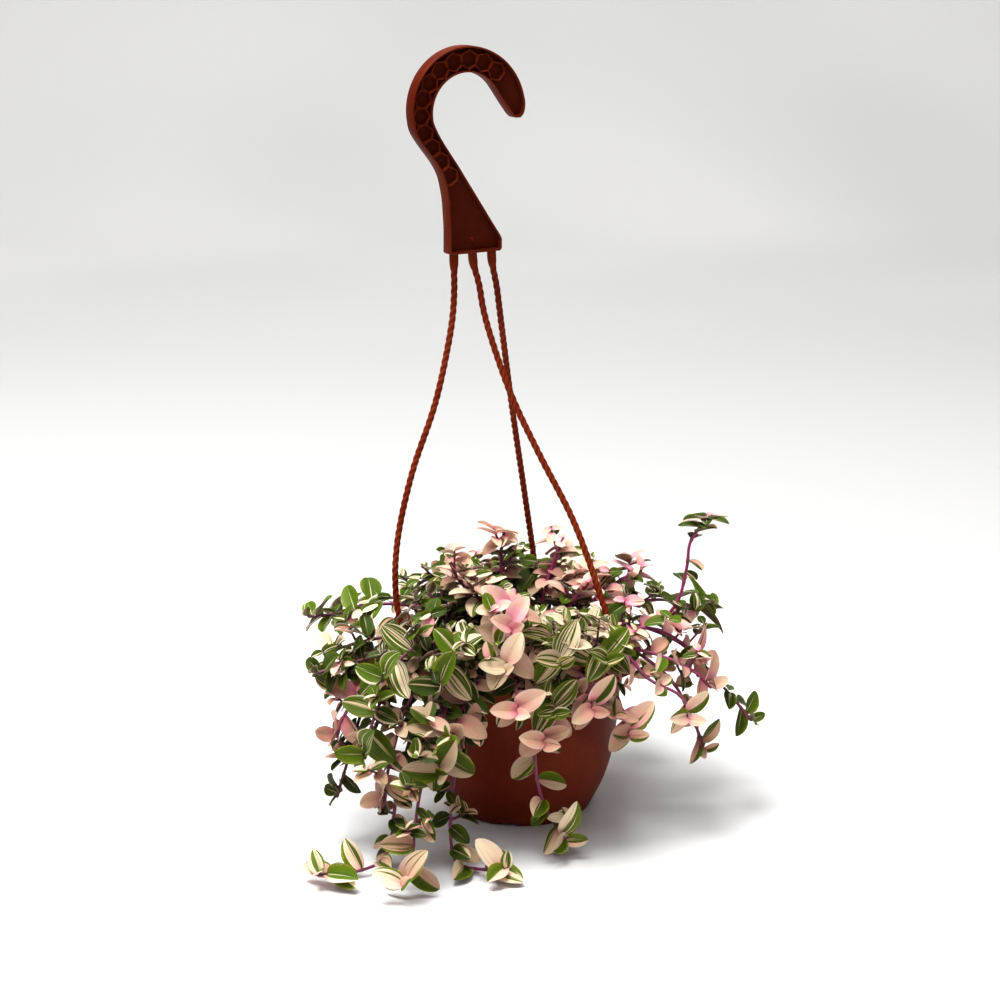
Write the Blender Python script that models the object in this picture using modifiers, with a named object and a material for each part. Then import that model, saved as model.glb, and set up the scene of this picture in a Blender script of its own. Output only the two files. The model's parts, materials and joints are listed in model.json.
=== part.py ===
# Turtle vine in a hanging pot, standing on its base.
# Lengths are in millimetres here and become metres when a mesh is made. +X is right,
# +Y is away from the viewer, +Z is up, and the origin is the centre of the pot's base.
import math

import bmesh
import bpy
import numpy as np
from mathutils import Matrix, Vector
from mathutils.bvhtree import BVHTree

MM = 0.001
GAP = 0.3  # clearance between neighbouring pieces
SHARP_DEG = 50.0
GOLDEN_ANGLE = math.radians(137.5078)
OBJECT_NAME = "turtle_vine_hanging_basket"

# Pot: a bowl with rounded lower walls and a deep rim
POT_HEIGHT = 100.0
POT_STEPS = 24
BASE_RADIUS = 40.0
FLOOR_THICKNESS = 2.2
WALL = 2.0
WALL_OUTSIDE = ((46.4, 11.0), (50.9, 22.0), (54.1, 33.0), (56.2, 46.0), (58.4, 70.0))  # radius, height
WALL_INSIDE = ((44.4, 11.0), (52.0, 33.0), (56.4, 70.0))
RIM_RADIUS = 65.0
RIM_DEPTH = 10.0
RIM_INSIDE = 60.5
RIM_LIP = 4.6
RIM_EDGE = 1.0  # chamfer of the rim's top
BASE_EDGE = (1.5, 2.0)  # how far the base's edge leans out, and how high
DRAIN_COUNT = 6
DRAIN_FIRST_DEG = -101.0
DRAIN_WIDTH = 10.0
DRAIN_HEIGHT = 2.4
DRAIN_INNER_RADIUS = 34.0
DRAIN_OVERRUN = (6.0, 2.0)  # how far a cutter passes the wall and the base

# Lugs on the rim that the hanger's arms clip into
LUG_AZIMUTHS_DEG = {"front": -39.4, "back": 80.6, "left": 200.6}
LUG_CENTRE_RADIUS = 70.0
LUG_HALF_WIDTH = 7.0
LUG_OUTER_RADIUS = 76.0
LUG_TOP = 98.0
LUG_THICKNESS = 3.0
LUG_CORNER = 4.0
LUG_OVERLAP = 2.5  # how far a lug runs into the rim
SLOT_WIDTH = 6.4
SLOT_DEPTH = 3.2

# Soil
SOIL_TOP = 86.0
HOLE_BOTTOM = 66.0
HOLE_SIDES = 6
HOLE_RADIUS = 1.75

# Hook: a flat moulding, 8.5 deep, turned about Z, in its own axes U (along) and V (up)
HOOK_ORIGIN = (-27.0, 0.0, 333.4)
HOOK_YAW_DEG = 30.0
HOOK_DEPTH = 8.5
HOOK_OUTER_CENTRE = (-6.4, 81.3)
HOOK_OUTER_RADIUS = 34.8
HOOK_INNER_CENTRE = (-6.5, 79.7)
HOOK_INNER_RADIUS = 21.8
HOOK_BACK_EDGE = ((-17.0, 0.0), (-18.0, 1.0), (-18.0, 15.0), (-19.0, 30.0), (-22.0, 44.0), (-28.5, 55.0))
HOOK_TIP = ((18.2, 106.7), (24.0, 100.3), (28.3, 92.6), (30.4, 85.8), (30.9, 82.3), (30.6, 79.0),
            (29.6, 76.6), (27.2, 74.6), (24.0, 74.6), (21.6, 76.7), (17.0, 83.2))
HOOK_FRONT_EDGE = ((-25.2, 69.0), (-19.0, 59.5), (-12.0, 49.5), (15.5, 7.5), (15.5, 1.2), (14.4, 0.0))
CELL_RADIUS = 4.9
CELL_PITCH_DEG = 19.2
CELL_FIRST_DEG = 48.3
CELL_ARC_COUNT = 9
CELL_RING_RADIUS = 28.7
CELL_STRAIGHT = ((-28.5, 60.7), (-23.0, 52.6), (-17.5, 44.5))
POCKET_DEPTH = 3.1
FOOT_POCKET = ((-16.3, 1.8), (13.4, 1.8), (13.9, 7.2), (-3.4, 34.0), (-8.8, 41.9), (-11.6, 39.0),
               (-16.9, 36.6))
TIP_POCKET = ((14.3, 95.5), (19.0, 100.2), (25.5, 93.4), (28.3, 86.0), (28.8, 79.2), (26.6, 76.6),
              (23.8, 77.6), (17.6, 86.6))

# Hanger arms: routes from under the hook down to the lugs
ARM_RADIUS = 2.0
ARM_POINT_STEP = 19.0
ARM_TAB = (5.4, 2.4, 10.0)  # along U, across it, and down
ARM_TAB_U = {"left": -13.5, "front": -1.5, "back": 11.0}
ARM_ROUTES = {
    "left": ((-38.5, -7, 312), (-40.5, -8, 290), (-49.5, -11, 248), (-63, -14, 208), (-72, -17, 167),
             (-73, -19.5, 134), (-68, -23, 110)),
    "front": ((-25, -1, 319), (-21, -5, 296), (-7, -13, 255), (10, -22, 220), (30, -31, 182),
              (46, -40, 138), (53, -43.5, 112)),
    "back": ((-15, 7, 316), (-12, 14, 290), (-5.5, 33, 235), (1.5, 49, 183), (6.5, 60, 146),
             (10.5, 66.5, 114)),
}
CLIP_WIDTH = 5.6
CLIP_DEPTH = 2.4
CLIP_BAR = (9.0, 3.2, 2.8)  # under the lug: along the rim, across it, and down
CLIP_SHOULDER = (5.0, 8.0, 2.4)  # on the lug: across the rim, along it, and up
OVERLAP = 1.0  # how far the pieces of an arm run into each other

# Leafy stems
SEED = 11
STEM_RADIUS = 1.2
STEM_BEND = 0.75  # the straight pieces of a stem stay this near its curve
ROUTE_STEP = 2.0
STEM_SPACING = 3.5
ARM_SPACING = 4.6
ROOT_SPACING = 5.4
ROOT_FIELD = 48.0
ROOT_SHARE = 0.86  # a root is this share of the way out to its stem's first stretch
ROOT_SEARCH = 1.1  # step of the spiral search for a free place
ROOT_TRIES = 400
ROUTE_TRIES = 200
ROUTE_SHAKE = 0.08  # how much more each new try moves a route's points
ROUTE_LOWEST = 4.0
BLADE_THICKNESS = 0.8
BLADE_CLEARANCE = 0.45
BLADE_WIDTH = 0.58  # of its length
BLADE_LIFT = 0.17  # of its length: how high the sides stand over the midrib
BLADE_DROOP = 0.10
THICKNESS_STEPS = (0.0, 0.03, 0.06, 0.09, 0.12, 0.15, 0.18, 0.21, 0.24, 0.27, 0.3)
ROSETTE_PLACES = (0.9, 3.0, 6.0, 10.0, 15.0)  # distances back from the tip
LEAF_SPACING = 13.0
TIP_LIFT = (0.75, 0.7, 0.6, 0.5, 0.35, 0.2, 0.0)
TIP_ROLL_DEG = (0.0, 0.0, 55.0, 55.0, -35.0, -35.0, 10.0)
SPREAD_DEG = (30.0, 55.0, 68.0, 74.0, 76.0, 72.0, 70.0)
FLAT_SPREAD_DEG = 83.0  # on a steep stem, whose leaves lie nearly level
STEEP = (0.6, 0.3)  # rise of a stem that starts to count as steep, and over how much it grows to fully so
STEEP_LEAN = 0.6  # share of the lean that a fully steep stem loses
LEAN_NEAR = 0.6  # how much an upper side leans out from the pot's axis, against UPWARD
LEAN_FAR = -0.15  # on the far side, whose leaves turn to the light too
LEAN_FADE = (20.0, 60.0)  # where along Y the lean starts to grow towards the near side, and over how much
FACING_LEAN = 0.33  # share of the lean that also turns the blade itself
UPWARD = 0.8
GROWTH = (0.6, 0.82, 1.0, 1.0, 1.0, 0.95, 0.9, 0.8)
SEAM = 0.0006
FLOOR_CLEARANCE = 0.7
TRIES = 24
CROSSING_TRIES = 16  # after these a blade may cross another of its own stem
SMALL_GROWTH = 0.85  # a leaf under this share of its stem's full size has four points

# name, leaf colour, leaf length, leaves, then the route's points beyond the soil
VINES = (
    ("left_arm", "leaf_green", 18, 8,
     ((-48, -2, 117), (-78, -6, 126), (-104, -12, 122), (-125, -15, 121))),
    ("left_middle", "leaf_cream", 17, 6,
     ((-52, -22, 112), (-86, -36, 114), (-112, -42, 108))),
    ("left_lower", "leaf_green", 18, 7,
     ((-56, -36, 108), (-92, -50, 106), (-118, -56, 100))),
    ("left_pink", "leaf_pink", 20, 6,
     ((-50, -44, 106), (-86, -62, 98), (-101, -72, 80), (-105, -74, 68))),
    ("left_green_drop", "leaf_green", 18, 7,
     ((-58, -26, 110), (-92, -44, 106), (-108, -56, 90))),
    ("left_dark", "leaf_green", 15, 7,
     ((-54, -30, 105), (-86, -54, 88), (-98, -68, 56), (-106, -70, 30))),
    ("left_bright", "leaf_green", 23, 6,
     ((-42, -46, 108), (-72, -74, 102), (-85, -92, 80), (-88, -98, 64))),
    ("peach_low", "leaf_cream", 20, 6,
     ((-38, -50, 107), (-62, -78, 94), (-74, -98, 62), (-78, -102, 40))),
    ("half_white", "leaf_cream", 24, 6,
     ((-26, -54, 108), (-40, -84, 98), (-46, -106, 76), (-46, -115, 60))),
    ("trail_left", "leaf_cream", 20, 9,
     ((-32, -54, 106), (-58, -82, 84), (-70, -96, 44), (-76, -103, 10), (-92, -115, 4),
      (-114, -127, 7))),
    ("trail_front_left", "leaf_cream", 21, 7,
     ((-28, -58, 105), (-46, -92, 86), (-57, -116, 50), (-62, -134, 18), (-66, -150, 9))),
    ("trail_front", "leaf_cream", 21, 7,
     ((-18, -58, 104), (-33, -86, 78), (-40, -100, 36), (-38, -105, 7), (-24, -112, 4), (-8, -120, 8))),
    ("trail_right", "leaf_cream", 21, 9,
     ((3, -58, 104), (8, -80, 88), (7, -86, 60), (12, -84, 32), (25, -87, 10))),
    ("pink_centre", "leaf_pink", 19, 6,
     ((-6, -24, 124), (-8, -50, 138), (-7, -66, 139), (-6, -77, 132))),
    ("cream_centre", "leaf_cream", 20, 6,
     ((-4, -36, 114), (-8, -66, 122), (-9, -84, 119), (-9, -92, 113))),
    ("striped_centre", "leaf_green", 23, 6,
     ((9, -38, 112), (16, -66, 124), (20, -82, 122), (21, -90, 116))),
    ("striped_right", "leaf_green", 22, 6,
     ((22, -30, 112), (36, -58, 124), (44, -76, 122), (47, -86, 116))),
    ("peach_middle", "leaf_pink", 20, 6,
     ((-2, -52, 107), (-4, -78, 106), (-3, -92, 98), (-3, -99, 90))),
    ("striped_middle", "leaf_green", 22, 6,
     ((8, -50, 106), (14, -76, 106), (17, -90, 98), (18, -98, 90))),
    ("peach_right", "leaf_pink", 20, 6,
     ((16, -46, 106), (30, -70, 108), (37, -86, 100), (39, -93, 90))),
    ("pink_drop", "leaf_pink", 20, 5,
     ((6, -56, 103), (10, -84, 96), (12, -97, 82), (13, -101, 73))),
    ("peach_left", "leaf_pink", 20, 6,
     ((-14, -56, 104), (-28, -82, 98), (-36, -96, 84), (-38, -101, 72))),
    ("green_left", "leaf_green", 23, 6,
     ((-34, -36, 111), (-58, -62, 118), (-72, -76, 112), (-79, -83, 104))),
    ("green_middle_left", "leaf_green", 22, 6,
     ((-18, -40, 112), (-34, -70, 119), (-43, -87, 113), (-46, -96, 103))),
    ("right_low", "leaf_cream", 20, 6,
     ((28, -44, 104), (48, -64, 100), (57, -78, 84), (60, -84, 72))),
    ("upright", "leaf_green", 15, 10,
     ((54, -6, 108), (80, -2, 114), (92, 0, 126), (97, 1, 146), (99, 3, 161), (108, 4, 175))),
    ("right_pink_top", "leaf_pink", 17, 7,
     ((38, 20, 114), (58, 32, 128), (73, 40, 133))),
    ("right_cream_upper", "leaf_cream", 18, 7,
     ((50, -14, 110), (76, -22, 116), (94, -27, 108), (103, -29, 98))),
    ("right_cream_lower", "leaf_cream", 19, 7,
     ((48, -26, 106), (76, -38, 106), (98, -45, 98), (109, -47, 88))),
    ("right_far", "leaf_green", 17, 7,
     ((56, -8, 108), (90, -10, 104), (116, -13, 80), (134, -14, 55))),
    ("right_drop_upper", "leaf_cream", 18, 7,
     ((44, -38, 105), (72, -54, 98), (88, -63, 82), (92, -66, 68))),
    ("right_drop_lower", "leaf_cream", 17, 7,
     ((54, -20, 106), (84, -36, 92), (99, -47, 68), (105, -52, 52))),
    ("top_middle", "leaf_pink", 14, 6,
     ((-11, 12, 122), (-12, 18, 148), (-10, 20, 163))),
    ("top_right", "leaf_pink", 14, 6,
     ((12, 6, 120), (18, 9, 144), (25, 10, 162))),
    ("top_left", "leaf_pink", 14, 6,
     ((-25, 6, 118), (-38, 9, 138), (-43, 10, 150))),
)
CROWN_COUNT = 8
CROWN_LEAF = 20
CROWN_LEAVES = 6
CROWN_RADII = (16.0, 60.0)
CROWN_HEIGHT = 150.0
CROWN_FALL = 0.006  # how much lower the crown is away from the middle, by the square of the distance
CROWN_FIRST = 1.2  # radians
CROWN_SHAKE = 3.0
BACK_COUNT = 7
BACK_LEAF = 21
BACK_LEAVES = 7
BACK_AZIMUTHS_DEG = (8.0, 176.0)
BACK_REACH = (94.0, 124.0)
BACK_DROP = (60.0, 104.0)
BACK_RISE = ((50.0, 112.0), (14.0, 118.0))  # radius and height inside the rim, and at the arch's top
BACK_SHAKE_DEG = 6.0
BACK_SHAKE = 6.0

COLOURS = {
    "pot_plastic": ((0.30, 0.075, 0.042), 0.55),
    "hanger_plastic": ((0.26, 0.045, 0.025), 0.42),
    "potting_soil": ((0.035, 0.024, 0.017), 0.95),
    "leaf_green": ((0.13, 0.25, 0.05), 0.50),
    "leaf_cream": ((0.74, 0.68, 0.45), 0.50),
    "leaf_pink": ((0.76, 0.38, 0.38), 0.50),
}


def clear_scene():
    for obj in list(bpy.data.objects):
        bpy.data.objects.remove(obj, do_unlink=True)


def new_collection(name, hidden=False):
    collection = bpy.data.collections.new(name)
    collection.hide_render = hidden
    bpy.context.scene.collection.children.link(collection)
    return collection


def make_materials():
    made = {}
    for name, (colour, roughness) in COLOURS.items():
        material = bpy.data.materials.new(name)
        material.use_nodes = True
        shader = material.node_tree.nodes["Principled BSDF"]
        shader.inputs["Base Color"].default_value = (*colour, 1.0)
        shader.inputs["Roughness"].default_value = roughness
        shader.inputs["Metallic"].default_value = 0.0
        material.diffuse_color = (*colour, 1.0)
        made[name] = material
    return made


def mesh_object(name, mesh, collection, material=None):
    obj = bpy.data.objects.new(name, mesh)
    collection.objects.link(obj)
    if material:
        obj.data.materials.clear()
        obj.data.materials.append(material)
    return obj


def solid_from_faces(name, points, faces, collection, material=None):
    mesh = bpy.data.meshes.new(name)
    mesh.from_pydata([tuple(p * MM) for p in np.asarray(points, float)], [], faces)
    mesh.update()
    return mesh_object(name, mesh, collection, material)


def evaluated_copy(obj):
    # The object's mesh with its modifiers or bevel applied, its place included
    graph = bpy.context.evaluated_depsgraph_get()
    mesh = bpy.data.meshes.new_from_object(obj.evaluated_get(graph))
    mesh.transform(obj.matrix_world)
    return mesh


def bake(obj):
    # Replaces an object by the mesh that it evaluates to
    bpy.context.view_layer.update()
    name = obj.name
    collection = obj.users_collection[0]
    mesh = evaluated_copy(obj)
    material = obj.data.materials[0] if obj.data.materials else None
    if obj.type == "CURVE":
        weld(mesh)
    bpy.data.objects.remove(obj, do_unlink=True)
    return mesh_object(name, mesh, collection, material)


def weld(mesh):
    # A curve's caps don't share their corners with its sides
    shape = bmesh.new()
    shape.from_mesh(mesh)
    bmesh.ops.remove_doubles(shape, verts=shape.verts, dist=0.002 * MM)
    bmesh.ops.recalc_face_normals(shape, faces=shape.faces)
    shape.to_mesh(mesh)
    shape.free()


def turned(name, profile, steps, collection, material):
    # A profile of (radius, height) points carried round the Z axis
    mesh = bpy.data.meshes.new(name)
    points = [(radius * MM, 0.0, height * MM) for radius, height in profile]
    mesh.from_pydata(points, [(i, i + 1) for i in range(len(points) - 1)], [])
    obj = mesh_object(name, mesh, collection, material)
    screw = obj.modifiers.new("Turn", "SCREW")
    screw.steps = steps
    screw.render_steps = steps
    screw.use_merge_vertices = True
    screw.merge_threshold = 0.0001
    return bake(obj)


def flat_outline(name, outlines, thickness, collection, material=None):
    # A flat shape from closed outlines, the later ones holes in the first, lying in XY
    curve = bpy.data.curves.new(name, "CURVE")
    curve.dimensions = "2D"
    curve.fill_mode = "BOTH"
    curve.extrude = thickness / 2 * MM
    for outline in outlines:
        spline = curve.splines.new("POLY")
        spline.points.add(len(outline) - 1)
        for point, (x, y) in zip(spline.points, outline):
            point.co = (x * MM, y * MM, 0.0, 1.0)
        spline.use_cyclic_u = True
    if material:
        curve.materials.append(material)
    obj = bpy.data.objects.new(name, curve)
    collection.objects.link(obj)
    return obj


def tube(name, points, radius, resolution, collection, material=None):
    curve = bpy.data.curves.new(name, "CURVE")
    curve.dimensions = "3D"
    curve.bevel_depth = radius * MM
    curve.bevel_resolution = resolution
    curve.use_fill_caps = True
    spline = curve.splines.new("POLY")
    spline.points.add(len(points) - 1)
    for point, (x, y, z) in zip(spline.points, points):
        point.co = (x * MM, y * MM, z * MM, 1.0)
    if material:
        curve.materials.append(material)
    obj = bpy.data.objects.new(name, curve)
    collection.objects.link(obj)
    return bake(obj)


def box(name, size, place, yaw_deg, collection):
    bpy.ops.mesh.primitive_cube_add(size=1.0)
    obj = bpy.context.active_object
    obj.name = name
    move_to(obj, collection)
    turn = Matrix.Rotation(math.radians(yaw_deg), 4, "Z")
    scale = Matrix.Diagonal((*[side * MM for side in size], 1.0))
    obj.data.transform(Matrix.Translation(Vector(place) * MM) @ turn @ scale)
    return obj


def move_to(obj, collection):
    for other in list(obj.users_collection):
        other.objects.unlink(obj)
    collection.objects.link(obj)


def cut(obj, cutter):
    modifier = obj.modifiers.new(cutter.name, "BOOLEAN")
    modifier.operation = "DIFFERENCE"
    modifier.solver = "EXACT"
    modifier.object = cutter


def join_collection(obj, collection, solver="MANIFOLD"):
    # One union with everything in a collection, applied, and the collection emptied
    modifier = obj.modifiers.new("Join", "BOOLEAN")
    modifier.operation = "UNION"
    modifier.solver = solver
    modifier.operand_type = "COLLECTION"
    modifier.collection = collection
    joined = bake(obj)
    for part in list(collection.objects):
        bpy.data.objects.remove(part, do_unlink=True)
    return joined


def polar(radius, degrees, height=0.0):
    angle = math.radians(degrees)
    return radius * math.cos(angle), radius * math.sin(angle), height


def arc(centre, radius, first_deg, last_deg, count):
    return [(centre[0] + radius * math.cos(a), centre[1] + radius * math.sin(a))
            for a in np.radians(np.linspace(first_deg, last_deg, count))]


def pot_profile():
    rim_bottom = POT_HEIGHT - RIM_DEPTH
    inside = [(0.0, FLOOR_THICKNESS), (BASE_RADIUS - WALL, FLOOR_THICKNESS), *WALL_INSIDE]
    rim = [(RIM_INSIDE, POT_HEIGHT), (RIM_RADIUS - RIM_EDGE, POT_HEIGHT),
           (RIM_RADIUS, POT_HEIGHT - RIM_EDGE), (RIM_RADIUS, rim_bottom),
           (RIM_RADIUS - RIM_LIP, rim_bottom)]
    base = [(BASE_RADIUS + BASE_EDGE[0], BASE_EDGE[1]), (BASE_RADIUS, 0.0), (0.0, 0.0)]
    return inside + rim + list(reversed(WALL_OUTSIDE)) + base


def lug_outline():
    # In the lug's own axes: X out from the pot's axis, Y along the rim
    round_end = arc((LUG_OUTER_RADIUS - LUG_CORNER, LUG_HALF_WIDTH - LUG_CORNER), LUG_CORNER, 90, 0, 4)
    far_side = [(x, -y) for x, y in reversed(round_end)]
    inner = RIM_RADIUS - LUG_OVERLAP
    return [(inner, -LUG_HALF_WIDTH), (inner, LUG_HALF_WIDTH)] + round_end + far_side


def build_pot(parts, cutters, material):
    pot = turned("pot", pot_profile(), POT_STEPS, parts, material)
    half_depth, half_width = SLOT_DEPTH / 2, SLOT_WIDTH / 2
    slot = [(LUG_CENTRE_RADIUS - half_depth, -half_width), (LUG_CENTRE_RADIUS + half_depth, -half_width),
            (LUG_CENTRE_RADIUS + half_depth, half_width), (LUG_CENTRE_RADIUS - half_depth, half_width)]
    lugs = new_collection("lugs")
    for name, azimuth in LUG_AZIMUTHS_DEG.items():
        lug = flat_outline("lug_" + name, [lug_outline(), slot], LUG_THICKNESS, lugs)
        lug.location.z = (LUG_TOP - LUG_THICKNESS / 2) * MM
        lug.rotation_euler.z = math.radians(azimuth)
        bake(lug)
    pot = join_collection(pot, lugs, "EXACT")
    bpy.data.collections.remove(lugs)
    for i in range(DRAIN_COUNT):
        azimuth = DRAIN_FIRST_DEG + i * 360 / DRAIN_COUNT
        length = BASE_RADIUS + DRAIN_OVERRUN[0] - DRAIN_INNER_RADIUS
        height = DRAIN_HEIGHT + DRAIN_OVERRUN[1]
        place = polar(DRAIN_INNER_RADIUS + length / 2, azimuth, DRAIN_HEIGHT - height / 2)
        cut(pot, box(f"drain_cutter_{i + 1}", (length, DRAIN_WIDTH, height), place, azimuth, cutters))
    return pot


def build_soil(parts, cutters, material, roots):
    wall = [(radius - GAP, height) for radius, height in WALL_INSIDE]
    (low_radius, low), (high_radius, high) = WALL_INSIDE[-1], (RIM_INSIDE, POT_HEIGHT)
    top = (low_radius - GAP + (high_radius - low_radius) * (SOIL_TOP - low) / (high - low), SOIL_TOP)
    bottom = FLOOR_THICKNESS + GAP
    foot = [(BASE_RADIUS - WALL - GAP, bottom), (0.0, bottom)]
    profile = [(0.0, SOIL_TOP), top] + list(reversed(wall)) + foot
    soil = turned("soil", profile, POT_STEPS, parts, material)
    holes = new_collection("holes", hidden=True)
    depth = SOIL_TOP - HOLE_BOTTOM + 2 * GAP
    meshes = []
    for x, y in roots:
        bpy.ops.mesh.primitive_cylinder_add(vertices=HOLE_SIDES, radius=HOLE_RADIUS * MM,
                                            depth=2 * depth * MM)
        hole = bpy.context.active_object
        hole.location = Vector((x, y, HOLE_BOTTOM - GAP + depth)) * MM
        move_to(hole, holes)
        meshes.append(hole)
    with bpy.context.temp_override(active_object=meshes[0], selected_editable_objects=meshes):
        bpy.ops.object.join()
    cutter = meshes[0]
    cutter.name = "stem_hole_cutter"
    move_to(cutter, cutters)
    bpy.data.collections.remove(holes)
    cut(soil, cutter)
    return soil


def hook_outline():
    outer = arc(HOOK_OUTER_CENTRE, HOOK_OUTER_RADIUS, 200, 60, 11)
    inner = arc(HOOK_INNER_CENTRE, HOOK_INNER_RADIUS, 34, 196, 9)
    return list(HOOK_BACK_EDGE) + outer + list(HOOK_TIP) + inner + list(HOOK_FRONT_EDGE)


def hook_cells():
    # Centre and outward direction of each honeycomb cell
    cells = []
    for i in range(CELL_ARC_COUNT):
        angle = CELL_FIRST_DEG + i * CELL_PITCH_DEG
        x, y, _ = polar(CELL_RING_RADIUS, angle)
        cells.append((HOOK_INNER_CENTRE[0] + x, HOOK_INNER_CENTRE[1] + y, angle))
    first, last = CELL_STRAIGHT[0], CELL_STRAIGHT[-1]
    across = math.degrees(math.atan2(last[1] - first[1], last[0] - first[0])) - 90
    return cells + [(x, y, across) for x, y in CELL_STRAIGHT]


def hook_matrix():
    turn = Matrix.Rotation(math.radians(HOOK_YAW_DEG), 4, "Z") @ Matrix.Rotation(math.radians(90), 4, "X")
    return Matrix.Translation(Vector(HOOK_ORIGIN) * MM) @ turn


def build_hook(parts, cutters, material):
    hook = flat_outline("hanger_hook", [hook_outline()], HOOK_DEPTH, parts, material)
    hook = bake(hook)
    pockets = [[(x + CELL_RADIUS * math.cos(math.radians(angle + 60 * k)),
                 y + CELL_RADIUS * math.sin(math.radians(angle + 60 * k))) for k in range(6)]
               for x, y, angle in hook_cells()]
    pockets += [list(FOOT_POCKET), list(TIP_POCKET)]
    depth = 2 * POCKET_DEPTH
    for side, name in ((1, "front"), (-1, "back")):
        cutter = flat_outline("hook_pocket_cutter_" + name, pockets[:1], depth, cutters)
        for pocket in pockets[1:]:
            spline = cutter.data.splines.new("POLY")
            spline.points.add(len(pocket) - 1)
            for point, (x, y) in zip(spline.points, pocket):
                point.co = (x * MM, y * MM, 0.0, 1.0)
            spline.use_cyclic_u = True
        cutter.location.z = side * HOOK_DEPTH / 2 * MM
        cutter = bake(cutter)
        cutter.data.transform(hook_matrix())
        cut(hook, cutter)
    hook.data.transform(hook_matrix())
    return hook


def hook_point(u, v):
    return Vector(HOOK_ORIGIN) + Matrix.Rotation(math.radians(HOOK_YAW_DEG), 3, "Z") @ Vector((u, 0.0, v))


def hermite(points, first_tangent=None, per_span=12):
    # Smooth curve through the points: each span is a cubic with the points' own tangents
    points = np.asarray(points, float)
    tangents = np.empty_like(points)
    tangents[1:-1] = (points[2:] - points[:-2]) / 2
    tangents[0] = points[1] - points[0] if first_tangent is None else first_tangent
    tangents[-1] = points[-1] - points[-2]
    t = np.linspace(0, 1, per_span, endpoint=False)[:, None]
    spans = [(2 * t**3 - 3 * t**2 + 1) * points[i] + (t**3 - 2 * t**2 + t) * tangents[i]
             + (3 * t**2 - 2 * t**3) * points[i + 1] + (t**3 - t**2) * tangents[i + 1]
             for i in range(len(points) - 1)]
    return np.vstack(spans + [points[-1:]])


def even_steps(points, step):
    length = np.concatenate([[0], np.cumsum(np.linalg.norm(np.diff(points, axis=0), axis=1))])
    count = max(int(round(length[-1] / step)), 2)
    marks = np.linspace(0, length[-1], count + 1)
    return np.column_stack([np.interp(marks, length, points[:, k]) for k in range(3)])


def arm_line(name):
    azimuth = LUG_AZIMUTHS_DEG[name]
    top = hook_point(ARM_TAB_U[name], -GAP - ARM_TAB[2] + OVERLAP)
    end = polar(LUG_CENTRE_RADIUS, azimuth, LUG_TOP + GAP)
    return hermite([tuple(top), *ARM_ROUTES[name], end])


def build_arm(name, parts, material):
    azimuth = LUG_AZIMUTHS_DEG[name]
    line = even_steps(arm_line(name), ARM_POINT_STEP)
    arm = tube("hanger_arm_" + name, line, ARM_RADIUS, 1, parts, material)
    pieces = new_collection("arm_pieces")
    tab = hook_point(ARM_TAB_U[name], -GAP - ARM_TAB[2] / 2)
    box("tab", ARM_TAB, tab, HOOK_YAW_DEG, pieces)
    height = LUG_THICKNESS + 2 * GAP + CLIP_BAR[2] + OVERLAP
    top = LUG_TOP + GAP + OVERLAP
    bar_height = top - height + CLIP_BAR[2] / 2
    shoulder_height = LUG_TOP + GAP + CLIP_SHOULDER[2] / 2
    for label, size, middle in (("clip", (CLIP_DEPTH, CLIP_WIDTH, height), top - height / 2),
                                ("bar", (CLIP_BAR[1], CLIP_BAR[0], CLIP_BAR[2]), bar_height),
                                ("shoulder", CLIP_SHOULDER, shoulder_height)):
        box(label, size, polar(LUG_CENTRE_RADIUS, azimuth, middle), azimuth, pieces)
    arm = join_collection(arm, pieces)
    bpy.data.collections.remove(pieces)
    return arm


def rule_vines():
    # The crown's stems stand up in a spiral, and the far side's arch over the rim
    vines = []
    draw = np.random.default_rng(SEED)
    colours = ("leaf_green", "leaf_cream", "leaf_pink")
    for i in range(CROWN_COUNT):
        azimuth = math.degrees(i * GOLDEN_ANGLE + CROWN_FIRST)
        share = math.sqrt((i + 0.5) / CROWN_COUNT)
        reach = CROWN_RADII[0] + share * (CROWN_RADII[1] - CROWN_RADII[0])
        height = CROWN_HEIGHT - CROWN_FALL * reach**2 + draw.uniform(-CROWN_SHAKE, CROWN_SHAKE)
        half_way = SOIL_TOP + 0.55 * (height - SOIL_TOP)
        route = (polar(0.6 * reach, azimuth, half_way), polar(reach, azimuth, height))
        vines.append((f"crown_{i + 1}", colours[i % 3], CROWN_LEAF, CROWN_LEAVES, route))
    (rim_radius, rim_height), (arch_radius, arch_height) = BACK_RISE
    for i in range(BACK_COUNT):
        share = (i + 0.5) / BACK_COUNT
        first, last = BACK_AZIMUTHS_DEG
        azimuth = first + share * (last - first)
        reach = draw.uniform(*BACK_REACH)
        low = BACK_DROP[0] if i % 2 else BACK_DROP[1]
        turns = draw.uniform(-BACK_SHAKE_DEG, BACK_SHAKE_DEG, 3)
        route = (polar(rim_radius, azimuth + turns[0], rim_height + 6 * (i % 2)),
                 polar(0.6 * reach + arch_radius, azimuth + turns[1], arch_height),
                 polar(reach, azimuth + turns[2], low + draw.uniform(-BACK_SHAKE, BACK_SHAKE)))
        vines.append((f"back_{i + 1}", colours[i * 2 % 3], BACK_LEAF, BACK_LEAVES, route))
    return vines


def spaced_root(direction, roots):
    # The nearest free place in the soil to a point below the stem's first stretch
    wanted = np.array(direction[:2], float)
    wanted *= min(1.0, ROOT_FIELD / max(np.linalg.norm(wanted), 1.0)) * ROOT_SHARE
    for i in range(ROOT_TRIES):
        angle = i * GOLDEN_ANGLE
        place = wanted + ROOT_SEARCH * math.sqrt(i) * np.array((math.cos(angle), math.sin(angle)))
        if np.linalg.norm(place) > ROOT_FIELD:
            continue
        if all(np.linalg.norm(place - root) >= ROOT_SPACING for root in roots):
            return place
    raise ValueError("no room for another stem")


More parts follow.
